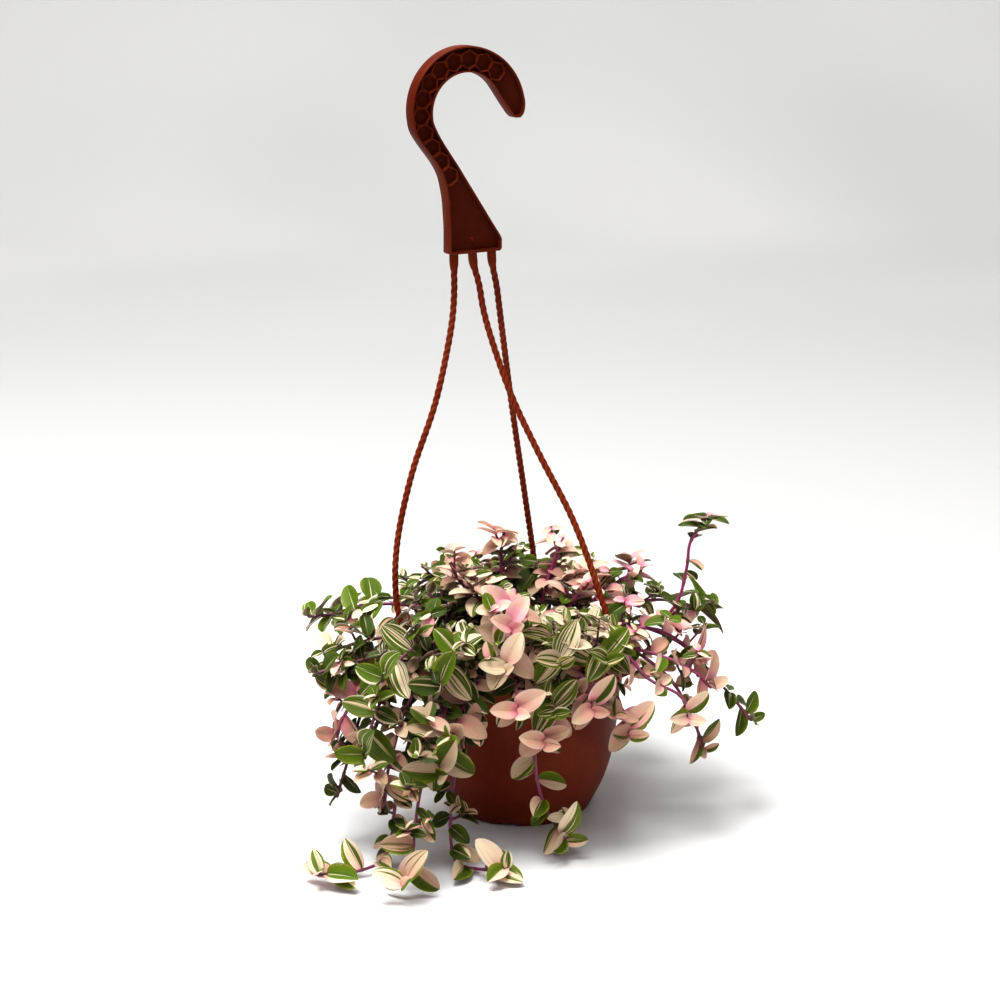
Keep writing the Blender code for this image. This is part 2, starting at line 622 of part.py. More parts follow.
def stem_route(root, points):
    start = (*root, SOIL_TOP + 2.0)
    rise = np.array((0.0, 0.0, np.linalg.norm(np.subtract(points[0], start))))
    curve = hermite([start, *points], first_tangent=rise)
    return even_steps(curve, ROUTE_STEP)


def least_distance(points, others):
    if not len(others):
        return np.inf
    return float(np.sqrt(((points[:, None] - others[None]) ** 2).sum(axis=2).min()))


def near_pot(points, margin):
    # True where a point with this much round it would reach the rim, the wall, the lugs or the soil
    radius = np.hypot(points[:, 0], points[:, 1])
    height = points[:, 2]
    rim = (radius > RIM_INSIDE - WALL - margin) & (radius < RIM_RADIUS + margin)
    rim &= height < POT_HEIGHT + margin
    wall = (radius <= RIM_RADIUS + margin) & (height < SOIL_TOP + 2 * GAP + margin)
    azimuth = np.degrees(np.arctan2(points[:, 1], points[:, 0]))
    lugs = np.zeros(len(points), bool)
    for lug in LUG_AZIMUTHS_DEG.values():
        turned_by = np.radians(azimuth - lug)
        along = radius * np.sin(turned_by)
        out = radius * np.cos(turned_by)
        lugs |= ((np.abs(along) < LUG_HALF_WIDTH + margin) & (out > 0) & (out < LUG_OUTER_RADIUS + margin)
                 & (height > LUG_TOP - 10 - margin) & (height < LUG_TOP + 4 + margin) & (radius > RIM_INSIDE))
    return rim | wall | lugs


def plan_stems(vines):
    # Routes that keep clear of each other, of the arms and of the pot, nudged where they don't
    arms = np.vstack([even_steps(arm_line(name), ROUTE_STEP) for name in ARM_ROUTES])
    roots, routes = [], []
    for number, (name, _, _, _, points) in enumerate(vines):
        root = spaced_root(points[0], roots)
        draw = np.random.default_rng((SEED, number))
        laid = np.vstack(routes) if routes else np.empty((0, 3))
        for attempt in range(ROUTE_TRIES):
            moved = np.asarray(points, float) + draw.normal(0, ROUTE_SHAKE * attempt, (len(points), 3))
            moved[:, 2] = np.maximum(moved[:, 2], ROUTE_LOWEST)
            route = stem_route(root, moved)
            free = route[3:]  # the first steps stand in the soil's hole
            if (least_distance(route, laid) >= STEM_SPACING and least_distance(route, arms) >= ARM_SPACING
                    and not near_pot(free, STEM_RADIUS + GAP).any()
                    and route[:, 2].min() > STEM_RADIUS + FLOOR_CLEARANCE):
                break
        else:
            raise ValueError(f"no clear way for the stem {name}")
        roots.append(root)
        routes.append(route)
    return roots, routes


def blade(base, along, normal, length, thickness, small=False):
    # Cupped blade, folded along the midrib, with four or six points round its edge. Its root
    # is one point inside the stem. The numbers are shares of the length, the half width and the lift.
    side = np.cross(normal, along)
    if small:
        stations = ((0.46, 1.0, 0.7), (1.0, 0.0, 0.0), (0.46, -1.0, 0.7))
    else:
        stations = ((0.40, 0.96, 0.8), (0.72, 0.72, 0.5), (1.0, 0.0, 0.0), (0.72, -0.72, 0.5),
                    (0.40, -0.96, 0.8))
    middle = np.array([base + along * length * a + side * BLADE_WIDTH * length / 2 * b
                       + normal * length * (BLADE_LIFT * c - BLADE_DROOP * a * a) for a, b, c in stations])
    count = len(middle)
    points = np.vstack([[base], middle + normal * thickness / 2, middle - normal * thickness / 2])
    tip = 1 + count // 2
    faces = [(0, tip, 1), (0, count, tip)]
    faces += [(i, tip, i + 1) for i in range(1, tip - 1)] + [(i, tip, i + 1) for i in range(tip + 1, count)]
    faces += [tuple(i + count if i else 0 for i in reversed(face)) for face in faces]
    faces += [(0, 1, 1 + count), (0, 2 * count, count)]
    for i in range(1, count):
        faces += [(i, i + 1, i + 1 + count), (i, i + 1 + count, i + count)]
    return points, faces


def prism_chain(route, radius):
    # A four-sided tube round a route, for testing what would touch a stem
    tangent = np.gradient(route, axis=0)
    tangent /= np.linalg.norm(tangent, axis=1)[:, None]
    helper = np.where(np.abs(tangent[:, 2:]) > 0.9, (1.0, 0.0, 0.0), (0.0, 0.0, 1.0))
    first = np.cross(tangent, helper)
    first /= np.linalg.norm(first, axis=1)[:, None]
    second = np.cross(tangent, first)
    ring = np.stack([route + radius * d for d in (first, second, -first, -second)], axis=1)
    faces = []
    for i in range(len(route) - 1):
        for k in range(4):
            a, b = 4 * i + k, 4 * i + (k + 1) % 4
            faces += [(a, b, b + 4), (a, b + 4, a + 4)]
    return ring.reshape(-1, 3), faces


def tree_of(shapes):
    points, faces, count = [], [], 0
    for shape_points, shape_faces in shapes:
        points.append(shape_points)
        faces += [(a + count, b + count, c + count) for a, b, c in shape_faces]
        count += len(shape_points)
    if not faces:
        return None
    return BVHTree.FromPolygons([tuple(p) for p in np.vstack(points)], faces)


def turn_about(vector, axis, radians):
    return (vector * math.cos(radians) + np.cross(axis, vector) * math.sin(radians)
            + axis * np.dot(axis, vector) * (1 - math.cos(radians)))


def leaf_frame(route, back, number, draw, attempt):
    # Base, direction and upper-side normal of one leaf; number counts back from the tip.
    # The tip turns up to the light, so its leaves make a star, and older ones lie in two ranks.
    place = np.clip(len(route) - 1 - back / ROUTE_STEP, 2, len(route) - 1)
    low = int(min(place, len(route) - 2))
    base = route[low] + (route[low + 1] - route[low]) * (place - low)
    tangent = unit(route[low + 1] - route[low - 1])
    outward = np.array((base[0], base[1], 0.0)) / max(math.hypot(base[0], base[1]), 20.0)
    steep = min(max((tangent[2] - STEEP[0]) / STEEP[1], 0.0), 1.0)
    lean = LEAN_FAR + (LEAN_NEAR - LEAN_FAR) * min(max((LEAN_FADE[0] - base[1]) / LEAN_FADE[1], 0.0), 1.0)
    lean *= 1 - STEEP_LEAN * steep
    up = unit(outward * lean + np.array((0.0, 0.0, UPWARD)) + 1e-3)
    side = unit(np.cross(tangent, up) + 1e-6)
    lifted = TIP_LIFT[min(number, len(TIP_LIFT) - 1)]
    axis = unit(tangent * (1 - lifted) + np.cross(side, tangent) * lifted)
    roll = TIP_ROLL_DEG[min(number, len(TIP_ROLL_DEG) - 1)] + draw.normal(0, 9 + 5 * attempt)
    spread = SPREAD_DEG[min(number, len(SPREAD_DEG) - 1)]
    spread += (FLAT_SPREAD_DEG - spread) * steep + draw.normal(0, 6 + 2 * attempt)
    spread = math.radians(spread)
    across = turn_about(side if number % 2 else -side, axis, math.radians(roll))
    along = unit(axis * math.cos(spread) + across * math.sin(spread) + up * draw.uniform(-0.1, 0.2))
    facing = axis * lifted + up * (1 - lifted) + outward * lean * FACING_LEAN + draw.normal(0, 0.12, 3)
    return base, along, unit(facing - along * np.dot(along, facing))


def unit(vector):
    return vector / np.linalg.norm(vector)


def leaf_places(count):
    # Distances back from the tip: a close rosette first, then even spaces
    return np.concatenate([ROSETTE_PLACES, ROSETTE_PLACES[-1] + LEAF_SPACING * np.arange(1, count)])[:count]


def plan_leaves(vines, routes):
    # Each stem's leaves, turned or shortened where they would touch another stem's
    arms = tree_of([prism_chain(even_steps(arm_line(name), 4.0), ARM_RADIUS + 1.0) for name in ARM_ROUTES])
    stems = [prism_chain(route, STEM_RADIUS + BLADE_CLEARANCE) for route in routes]
    laid = []
    plans = []
    for vine, (_, _, size, count, _) in enumerate(vines):
        others = tree_of(stems[:vine] + stems[vine + 1:])
        leaves = tree_of(laid)
        trees = [tree for tree in (arms, others, leaves) if tree]
        own, own_tree = [], None
        for number, back in enumerate(leaf_places(count)):
            growth = GROWTH[min(number, len(GROWTH) - 1)]
            small = growth < SMALL_GROWTH
            draw = np.random.default_rng((SEED, vine, number))
            for attempt in range(TRIES):
                base, along, normal = leaf_frame(routes[vine], back, number, draw, attempt)
                length = size * growth * draw.uniform(0.88, 1.08) * (1 - 0.03 * attempt)
                thickness = BLADE_THICKNESS + 2 * BLADE_CLEARANCE
                points, faces = blade(base, along, normal, length, thickness, small)
                if points[:, 2].min() < FLOOR_CLEARANCE or near_pot(points[1:], 0.5).any():
                    continue
                shape = BVHTree.FromPolygons([tuple(p) for p in points], faces)
                if any(tree.overlap(shape) for tree in trees):
                    continue
                if own_tree and attempt < CROSSING_TRIES and own_tree.overlap(shape):
                    continue
                own.append((base, along, normal, length, small))
                own_tree = tree_of([blade(*beyond_root(*leaf)) for leaf in own])
                break
        laid += [blade(*leaf[:4], BLADE_THICKNESS, leaf[4]) for leaf in own]
        plans.append(own)
    return plans


def beyond_root(base, along, normal, length, small):
    # The same blade without its first quarter, which crosses its neighbours' in the stem
    return base + along * 0.25 * length, along, normal, 0.75 * length, BLADE_THICKNESS, small


def straight_pieces(route):
    # The fewest of the route's points whose straight pieces stay close to it
    kept = [0]
    start = 0
    while start < len(route) - 1:
        end = start + 1
        while end + 1 < len(route):
            chord = route[end + 1] - route[start]
            chord /= np.linalg.norm(chord)
            between = route[start + 1:end + 1] - route[start]
            off = np.linalg.norm(between - np.outer(between @ chord, chord), axis=1).max()
            if off > STEM_BEND:
                break
            end += 1
        kept.append(end)
        start = end
    return route[kept]


def sewn_edges_sound(mesh):
    # Whether every edge still has two faces once corners that all but touch are one
    shape = bmesh.new()
    shape.from_mesh(mesh)
    bmesh.ops.remove_doubles(shape, verts=shape.verts, dist=SEAM * MM)
    sound = all(len(edge.link_faces) == 2 for edge in shape.edges)
    shape.free()
    return sound


def build_vine(name, route, leaves, parts, material):
    # A union whose blades graze each other is made again with slightly thicker ones
    root = route[0]
    line = np.vstack([[(root[0], root[1], HOLE_BOTTOM)], straight_pieces(route)])
    for extra in THICKNESS_STEPS:
        stem = tube("vine_" + name, line, STEM_RADIUS, 0, parts, material)
        blades = new_collection("blades")
        for i, leaf in enumerate(leaves):
            points, faces = blade(*leaf[:4], BLADE_THICKNESS + extra, leaf[4])
            solid_from_faces(f"blade_{i}", points, faces, blades)
        stem = join_collection(stem, blades)
        bpy.data.collections.remove(blades)
        if sewn_edges_sound(stem.data):
            return stem
        bpy.data.objects.remove(stem, do_unlink=True)
    raise ValueError(f"no sound seam for the stem {name}")


def finish(parts):
    # Round pieces are smooth between their sharp edges, and the leafy stems stay faceted
    for obj in parts.objects:
        smooth = not obj.name.startswith("vine_")
        obj.data.polygons.foreach_set("use_smooth", [smooth] * len(obj.data.polygons))
        if smooth:
            obj.data.set_sharp_from_angle(angle=math.radians(SHARP_DEG))


def main():
    clear_scene()
    parts = new_collection(OBJECT_NAME)
    cutters = new_collection("cutters", hidden=True)
    materials = make_materials()
    vines = list(VINES) + rule_vines()
    roots, routes = plan_stems(vines)
    leaves = plan_leaves(vines, routes)
    build_pot(parts, cutters, materials["pot_plastic"])
    build_soil(parts, cutters, materials["potting_soil"], roots)
    build_hook(parts, cutters, materials["hanger_plastic"])
    for name in ARM_ROUTES:
        build_arm(name, parts, materials["hanger_plastic"])
    for (name, colour, _, _, _), route, own in zip(vines, routes, leaves):
        build_vine(name, route, own, parts, materials[colour])
    for cutter in cutters.objects:
        cutter.hide_render = True
        cutter.display_type = "WIRE"
    finish(parts)
    print(len(routes), "stems,", sum(map(len, leaves)), "leaves")


main()
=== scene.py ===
import json
import math

import bpy
import numpy as np
from mathutils.bvhtree import BVHTree
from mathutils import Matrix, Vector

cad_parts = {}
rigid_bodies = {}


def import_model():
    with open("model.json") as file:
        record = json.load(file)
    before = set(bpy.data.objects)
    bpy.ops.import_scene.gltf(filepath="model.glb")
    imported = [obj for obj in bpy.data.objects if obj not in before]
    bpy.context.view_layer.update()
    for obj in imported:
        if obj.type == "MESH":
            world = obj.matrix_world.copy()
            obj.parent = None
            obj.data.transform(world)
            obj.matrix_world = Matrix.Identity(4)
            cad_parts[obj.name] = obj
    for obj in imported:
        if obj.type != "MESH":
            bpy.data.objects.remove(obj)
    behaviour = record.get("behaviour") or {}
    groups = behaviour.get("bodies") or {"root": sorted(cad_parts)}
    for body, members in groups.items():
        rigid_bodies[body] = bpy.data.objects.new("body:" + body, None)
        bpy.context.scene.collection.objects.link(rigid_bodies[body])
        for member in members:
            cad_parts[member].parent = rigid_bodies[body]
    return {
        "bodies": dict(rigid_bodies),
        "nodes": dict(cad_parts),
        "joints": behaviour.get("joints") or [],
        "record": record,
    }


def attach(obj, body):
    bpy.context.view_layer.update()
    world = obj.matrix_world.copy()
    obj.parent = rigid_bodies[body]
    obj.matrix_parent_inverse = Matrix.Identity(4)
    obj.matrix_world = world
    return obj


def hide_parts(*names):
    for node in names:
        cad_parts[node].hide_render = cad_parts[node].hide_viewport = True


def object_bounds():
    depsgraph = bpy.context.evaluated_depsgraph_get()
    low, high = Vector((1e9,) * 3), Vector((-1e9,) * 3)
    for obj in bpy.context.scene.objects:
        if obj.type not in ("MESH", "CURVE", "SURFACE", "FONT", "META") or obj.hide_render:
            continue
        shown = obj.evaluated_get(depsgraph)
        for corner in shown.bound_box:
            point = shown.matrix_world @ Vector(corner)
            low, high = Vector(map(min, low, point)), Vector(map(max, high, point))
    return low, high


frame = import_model()
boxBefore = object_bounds()
print("frame loaded:", len(frame["nodes"]), "nodes")

mm = 0.001
gap = 0.3
goldenAngle = math.radians(137.5078)

# Shapes of the hard pieces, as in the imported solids
potValues = {
    "height": 100.0, "baseRadius": 40.0, "floor": 2.2, "wall": 2.0,
    "outside": ((46.4, 11.0), (50.9, 22.0), (54.1, 33.0), (56.2, 46.0), (58.4, 70.0)),
    "inside": ((44.4, 11.0), (52.0, 33.0), (56.4, 70.0)),
    "rimRadius": 65.0, "rimDepth": 10.0, "rimInside": 60.5, "rimLip": 4.6,
    "drains": 6, "drainFirst": -101.0, "drainWidth": 10.0, "drainHeight": 2.4, "drainInner": 34.0,
    "around": 128,
    "lugAzimuths": {"front": -39.4, "back": 80.6, "left": 200.6},
    "lugRadius": 70.0, "lugOuter": 76.0, "lugHalfWidth": 7.0, "lugTop": 98.0, "lugThickness": 3.0,
    "slotWidth": 6.4, "slotDepth": 3.2, "lugSunk": 2.5, "lugEdge": 0.5, "lugAround": 56,
    "lugBelow": 10, "lugAbove": 4,
    "soilTop": 86.0, "holeBottom": 66.0,
}
hookValues = {
    "origin": (-27.0, 0.0, 333.4), "yaw": 30.0, "halfDepth": 4.25,
    "outerCentre": (-6.4, 81.3), "outerRadius": 34.8, "innerCentre": (-6.5, 79.7), "innerRadius": 21.8,
    "cellRadius": 4.9, "cellPitch": 19.2, "cellFirst": 48.3, "arcCells": 9, "cellRing": 28.7,
    "straightCells": ((-28.5, 60.7), (-23.0, 52.6), (-17.5, 44.5)),
    "web": 0.7, "ribTop": 3.6, "rib": 0.95, "flange": 1.25, "chamfer": 0.35,
    # recessShade: how much painted shade the deepest recesses get
    "recessShade": 0.9, "widening": (2.7, 70.0, 1.5), "step": 0.26, "columns": 46,
    "pin": (-2.0, 7.5), "pinRadius": 1.3, "pinHeight": 1.3,
    "flangeEdges": (0.12, 0.2), "ribSoft": 0.4, "flangeSoft": 0.35,
    # pairs of points on the outer and the inner edge, before and after the arc, in the hook's plane
    "foot": (((-17.0, 0.0), (14.4, 0.0)), ((-18.0, 1.0), (15.5, 1.2)), ((-18.0, 4.5), (15.6, 4.5)),
             ((-18.0, 8.0), (15.3, 7.7)), ((-18.0, 15.0), (10.6, 15.0)), ((-18.4, 22.0), (6.0, 22.0)),
             ((-19.0, 30.0), (0.8, 30.0)), ((-20.3, 37.5), (-4.0, 37.3)), ((-22.0, 44.0), (-8.2, 43.7)),
             ((-25.0, 50.0), (-12.0, 49.5)), ((-28.7, 55.2), (-15.5, 54.5)), ((-32.7, 60.2), (-19.0, 59.5)),
             ((-36.4, 65.2), (-22.3, 64.4)), ((-39.1, 69.6), (-25.2, 69.3))),
    "tip": (((30.9, 82.0), (18.4, 82.2)), ((30.6, 79.0), (20.8, 79.0)), ((29.7, 76.5), (22.7, 76.5)),
            ((27.8, 74.6), (24.8, 74.6))),
    "outerArc": (192, 6), "innerArc": (193, 34), "arcPoints": 17,
}
armValues = {
    "radius": 2.0, "tab": (5.4, 2.4, 10.0), "tabPlaces": {"left": -13.5, "front": -1.5, "back": 11.0},
    "routes": {
        "left": ((-38.5, -7, 312), (-40.5, -8, 290), (-49.5, -11, 248), (-63, -14, 208), (-72, -17, 167),
                 (-73, -19.5, 134), (-68, -23, 110)),
        "front": ((-25, -1, 319), (-21, -5, 296), (-7, -13, 255), (10, -22, 220), (30, -31, 182),
                  (46, -40, 138), (53, -43.5, 112)),
        "back": ((-15, 7, 316), (-12, 14, 290), (-5.5, 33, 235), (1.5, 49, 183), (6.5, 60, 146),
                 (10.5, 66.5, 114)),
    },
    "lobes": 3, "pitch": 13.5, "groove": 0.3, "around": 30, "step": 0.6, "soften": 10, "slim": 0.97,
    # darkPower shapes the painted shade in the grooves, topDark how much darker the rod's top is
    "tabOverlap": 1.0, "tabPower": 5.0, "clipPower": 8, "wavePower": 0.8, "topDark": 0.5, "darkPower": 1.5,
    # where the tab, the grooves and the dark top fade: from and over
    "tabFade": (3.0, 8.0), "grooveFade": (6.0, 6.0), "grooveEnd": (2.0, 3.0), "darkFade": (8.0, 50.0),
    # the clip's rings: height over the lug's top, half its depth, half its width
    "clip": ((3.4, 1.9, 1.9), (2.6, 2.5, 4.0), (gap, 2.5, 4.0), (gap, 1.2, 2.8),
             (-3.3, 1.2, 2.8), (-3.3, 1.6, 4.5), (-5.4, 1.6, 4.5), (-6.1, 1.0, 3.8)),
}

# Leafy stems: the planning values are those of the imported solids
stemValues = {
    "seed": 11, "radius": 1.2, "routeStep": 2.0, "spacing": 3.5, "armSpacing": 4.6,
    "rootSpacing": 5.4, "rootField": 48.0, "rootShare": 0.86, "rootSearch": 1.1,
    "rootTries": 400, "routeTries": 200, "routeShake": 0.08, "routeLowest": 4.0,
    "aboveSoil": 2.0, "bladeThickness": 0.8, "bladeClearance": 0.45, "bladeWidth": 0.58,
    "bladeLift": 0.17, "bladeDroop": 0.10,
    # along, across and lift of a blade's outline, from one side over the tip to the other
    "largeBlade": ((0.40, 0.96, 0.8), (0.72, 0.72, 0.5), (1.0, 0.0, 0.0), (0.72, -0.72, 0.5),
                   (0.40, -0.96, 0.8)),
    "smallBlade": ((0.46, 1.0, 0.7), (1.0, 0.0, 0.0), (0.46, -1.0, 0.7)),
    "rosette": (0.9, 3.0, 6.0, 10.0, 15.0), "leafSpacing": 13.0,
    "tipLift": (0.75, 0.7, 0.6, 0.5, 0.35, 0.2, 0.0),
    "tipRoll": (0.0, 0.0, 55.0, 55.0, -35.0, -35.0, 10.0),
    "spread": (30.0, 55.0, 68.0, 74.0, 76.0, 72.0, 70.0),
    "flatSpread": 83.0, "steep": (0.6, 0.3), "steepLean": 0.6, "innerReach": 20.0, "armTest": (4.0, 1.0),
    "leanNear": 0.6, "leanFar": -0.15, "leanFade": (20.0, 60.0), "upward": 0.8, "facingLean": 0.33,
    "growth": (0.6, 0.82, 1.0, 1.0, 1.0, 0.95, 0.9, 0.8), "smallGrowth": 0.85,
    "floorClearance": 0.7, "potClearance": 0.5, "tries": 24, "crossingTries": 16,
    "lengthRange": (0.88, 1.08), "shrink": 0.03, "rootPart": 0.25, "facingNoise": 0.12, "lift": (-0.1, 0.2),
    "rollNoise": (9, 5), "spreadNoise": (6, 2),
    "crown": {"count": 8, "leaf": 20, "leaves": 6, "radii": (16.0, 60.0), "height": 150.0, "fall": 0.006,
              "first": 1.2, "waist": (0.6, 0.55), "shake": 3.0},
    "back": {"count": 7, "leaf": 21, "leaves": 7, "azimuths": (8.0, 176.0), "reach": (94.0, 124.0),
             "drop": (60.0, 104.0), "rise": ((50.0, 112.0), (14.0, 118.0)), "arch": 0.6, "stagger": 6,
             "turn": 6.0, "shake": 6.0},
}
# name, colour slot, leaf length, leaves, then the route's points beyond the soil
vines = (
    ("left_arm", "leaf_green", 18, 8,
     ((-48, -2, 117), (-78, -6, 126), (-104, -12, 122), (-125, -15, 121))),
    ("left_middle", "leaf_cream", 17, 6,
     ((-52, -22, 112), (-86, -36, 114), (-112, -42, 108))),
    ("left_lower", "leaf_green", 18, 7,
     ((-56, -36, 108), (-92, -50, 106), (-118, -56, 100))),
    ("left_pink", "leaf_pink", 20, 6,
     ((-50, -44, 106), (-86, -62, 98), (-101, -72, 80), (-105, -74, 68))),
    ("left_green_drop", "leaf_green", 18, 7,
     ((-58, -26, 110), (-92, -44, 106), (-108, -56, 90))),
    ("left_dark", "leaf_green", 15, 7,
     ((-54, -30, 105), (-86, -54, 88), (-98, -68, 56), (-106, -70, 30))),
    ("left_bright", "leaf_green", 23, 6,
     ((-42, -46, 108), (-72, -74, 102), (-85, -92, 80), (-88, -98, 64))),
    ("peach_low", "leaf_cream", 20, 6,
     ((-38, -50, 107), (-62, -78, 94), (-74, -98, 62), (-78, -102, 40))),
    ("half_white", "leaf_cream", 24, 6,
     ((-26, -54, 108), (-40, -84, 98), (-46, -106, 76), (-46, -115, 60))),
    ("trail_left", "leaf_cream", 20, 9,
     ((-32, -54, 106), (-58, -82, 84), (-70, -96, 44), (-76, -103, 10), (-92, -115, 4),
      (-114, -127, 7))),
    ("trail_front_left", "leaf_cream", 21, 7,
     ((-28, -58, 105), (-46, -92, 86), (-57, -116, 50), (-62, -134, 18), (-66, -150, 9))),
    ("trail_front", "leaf_cream", 21, 7,
     ((-18, -58, 104), (-33, -86, 78), (-40, -100, 36), (-38, -105, 7), (-24, -112, 4), (-8, -120, 8))),
    ("trail_right", "leaf_cream", 21, 9,
     ((3, -58, 104), (8, -80, 88), (7, -86, 60), (12, -84, 32), (25, -87, 10))),
    ("pink_centre", "leaf_pink", 19, 6,
     ((-6, -24, 124), (-8, -50, 138), (-7, -66, 139), (-6, -77, 132))),
    ("cream_centre", "leaf_cream", 20, 6,
     ((-4, -36, 114), (-8, -66, 122), (-9, -84, 119), (-9, -92, 113))),
    ("striped_centre", "leaf_green", 23, 6,
     ((9, -38, 112), (16, -66, 124), (20, -82, 122), (21, -90, 116))),
    ("striped_right", "leaf_green", 22, 6,
     ((22, -30, 112), (36, -58, 124), (44, -76, 122), (47, -86, 116))),
    ("peach_middle", "leaf_pink", 20, 6,
     ((-2, -52, 107), (-4, -78, 106), (-3, -92, 98), (-3, -99, 90))),
    ("striped_middle", "leaf_green", 22, 6,
     ((8, -50, 106), (14, -76, 106), (17, -90, 98), (18, -98, 90))),
    ("peach_right", "leaf_pink", 20, 6,
     ((16, -46, 106), (30, -70, 108), (37, -86, 100), (39, -93, 90))),
    ("pink_drop", "leaf_pink", 20, 5,
     ((6, -56, 103), (10, -84, 96), (12, -97, 82), (13, -101, 73))),
    ("peach_left", "leaf_pink", 20, 6,
     ((-14, -56, 104), (-28, -82, 98), (-36, -96, 84), (-38, -101, 72))),
    ("green_left", "leaf_green", 23, 6,
     ((-34, -36, 111), (-58, -62, 118), (-72, -76, 112), (-79, -83, 104))),
    ("green_middle_left", "leaf_green", 22, 6,
     ((-18, -40, 112), (-34, -70, 119), (-43, -87, 113), (-46, -96, 103))),
    ("right_low", "leaf_cream", 20, 6,
     ((28, -44, 104), (48, -64, 100), (57, -78, 84), (60, -84, 72))),
    ("upright", "leaf_green", 15, 10,
     ((54, -6, 108), (80, -2, 114), (92, 0, 126), (97, 1, 146), (99, 3, 161), (108, 4, 175))),
    ("right_pink_top", "leaf_pink", 17, 7,
     ((38, 20, 114), (58, 32, 128), (73, 40, 133))),
    ("right_cream_upper", "leaf_cream", 18, 7,
     ((50, -14, 110), (76, -22, 116), (94, -27, 108), (103, -29, 98))),
    ("right_cream_lower", "leaf_cream", 19, 7,
     ((48, -26, 106), (76, -38, 106), (98, -45, 98), (109, -47, 88))),
    ("right_far", "leaf_green", 17, 7,
     ((56, -8, 108), (90, -10, 104), (116, -13, 80), (134, -14, 55))),
    ("right_drop_upper", "leaf_cream", 18, 7,
     ((44, -38, 105), (72, -54, 98), (88, -63, 82), (92, -66, 68))),
    ("right_drop_lower", "leaf_cream", 17, 7,
     ((54, -20, 106), (84, -36, 92), (99, -47, 68), (105, -52, 52))),
    ("top_middle", "leaf_pink", 14, 6,
     ((-11, 12, 122), (-12, 18, 148), (-10, 20, 163))),
    ("top_right", "leaf_pink", 14, 6,
     ((12, 6, 120), (18, 9, 144), (25, 10, 162))),
    ("top_left", "leaf_pink", 14, 6,
     ((-25, 6, 118), (-38, 9, 138), (-43, 10, 150))),
)


def polar(radius, degrees, height=0.0):
    # (r cos a, r sin a, height)
    angle = math.radians(degrees)
    return radius * math.cos(angle), radius * math.sin(angle), height


def unit(vector):
    # v / |v|
    return vector / np.linalg.norm(vector)


def unitRows(vectors):
    return vectors / np.linalg.norm(vectors, axis=1)[:, None]


def smoothStep(x):
    # 3x^2 - 2x^3 of x held between 0 and 1
    x = np.clip(x, 0, 1)
    return x * x * (3 - 2 * x)


def upTo(values, number):
    # The numbered value, or the last one beyond them
    return values[min(number, len(values) - 1)]


def arcLength(points):
    # The length of a path up to each of its points
    return np.concatenate([[0], np.cumsum(np.linalg.norm(np.diff(points, axis=0), axis=1))])


def circle(count):
    # Equal angles all the way round
    return np.linspace(0, 2 * np.pi, count, endpoint=False)


def superellipse(angle, a, b, power):
    # r = ((|cos| / a)^p + (|sin| / b)^p)^(-1/p)
    return ((np.abs(np.cos(angle)) / a) ** power + (np.abs(np.sin(angle)) / b) ** power) ** (-1 / power)


def turnedAboutZ(x, y, z, degrees):
    # (x cos - y sin, x sin + y cos, z)
    turn = math.radians(degrees)
    return np.stack([x * math.cos(turn) - y * math.sin(turn), x * math.sin(turn) + y * math.cos(turn),
                     np.broadcast_to(z, np.shape(x))], axis=-1)


def hookPoint(along, up, out=0.0):
    # along * (cos, sin) + out * (sin, -cos) of the hook's turn, up along Z
    turn = math.radians(hookValues["yaw"])
    origin = hookValues["origin"]
    return np.array((origin[0] + along * math.cos(turn) + out * math.sin(turn),
                     origin[1] + along * math.sin(turn) - out * math.cos(turn), origin[2] + up))


def hermite(points, firstTangent=None, perSpan=12):
    # p(t) = (2t^3-3t^2+1) a + (t^3-2t^2+t) ta + (3t^2-2t^3) b + (t^3-t^2) tb over each span
    points = np.asarray(points, float)
    tangents = np.empty_like(points)
    tangents[1:-1] = (points[2:] - points[:-2]) / 2
    tangents[0] = points[1] - points[0] if firstTangent is None else firstTangent
    tangents[-1] = points[-1] - points[-2]
    t = np.linspace(0, 1, perSpan, endpoint=False)[:, None]
    spans = [(2 * t**3 - 3 * t**2 + 1) * points[i] + (t**3 - 2 * t**2 + t) * tangents[i]
             + (3 * t**2 - 2 * t**3) * points[i + 1] + (t**3 - t**2) * tangents[i + 1]
             for i in range(len(points) - 1)]
    return np.vstack(spans + [points[-1:]])


def evenSteps(points, step):
    # The path again, with its points at equal steps along it
    length = arcLength(points)
    count = max(int(round(length[-1] / step)), 2)
    marks = np.linspace(0, length[-1], count + 1)
    return np.column_stack([np.interp(marks, length, points[:, k]) for k in range(3)])


def armLine(name):
    # From inside the tab through the arm's own points to the top of its lug
    top = hookPoint(armValues["tabPlaces"][name], -gap - armValues["tab"][2] + armValues["tabOverlap"])
    end = polar(potValues["lugRadius"], potValues["lugAzimuths"][name], potValues["lugTop"] + gap)
    return hermite([tuple(top), *armValues["routes"][name], end])


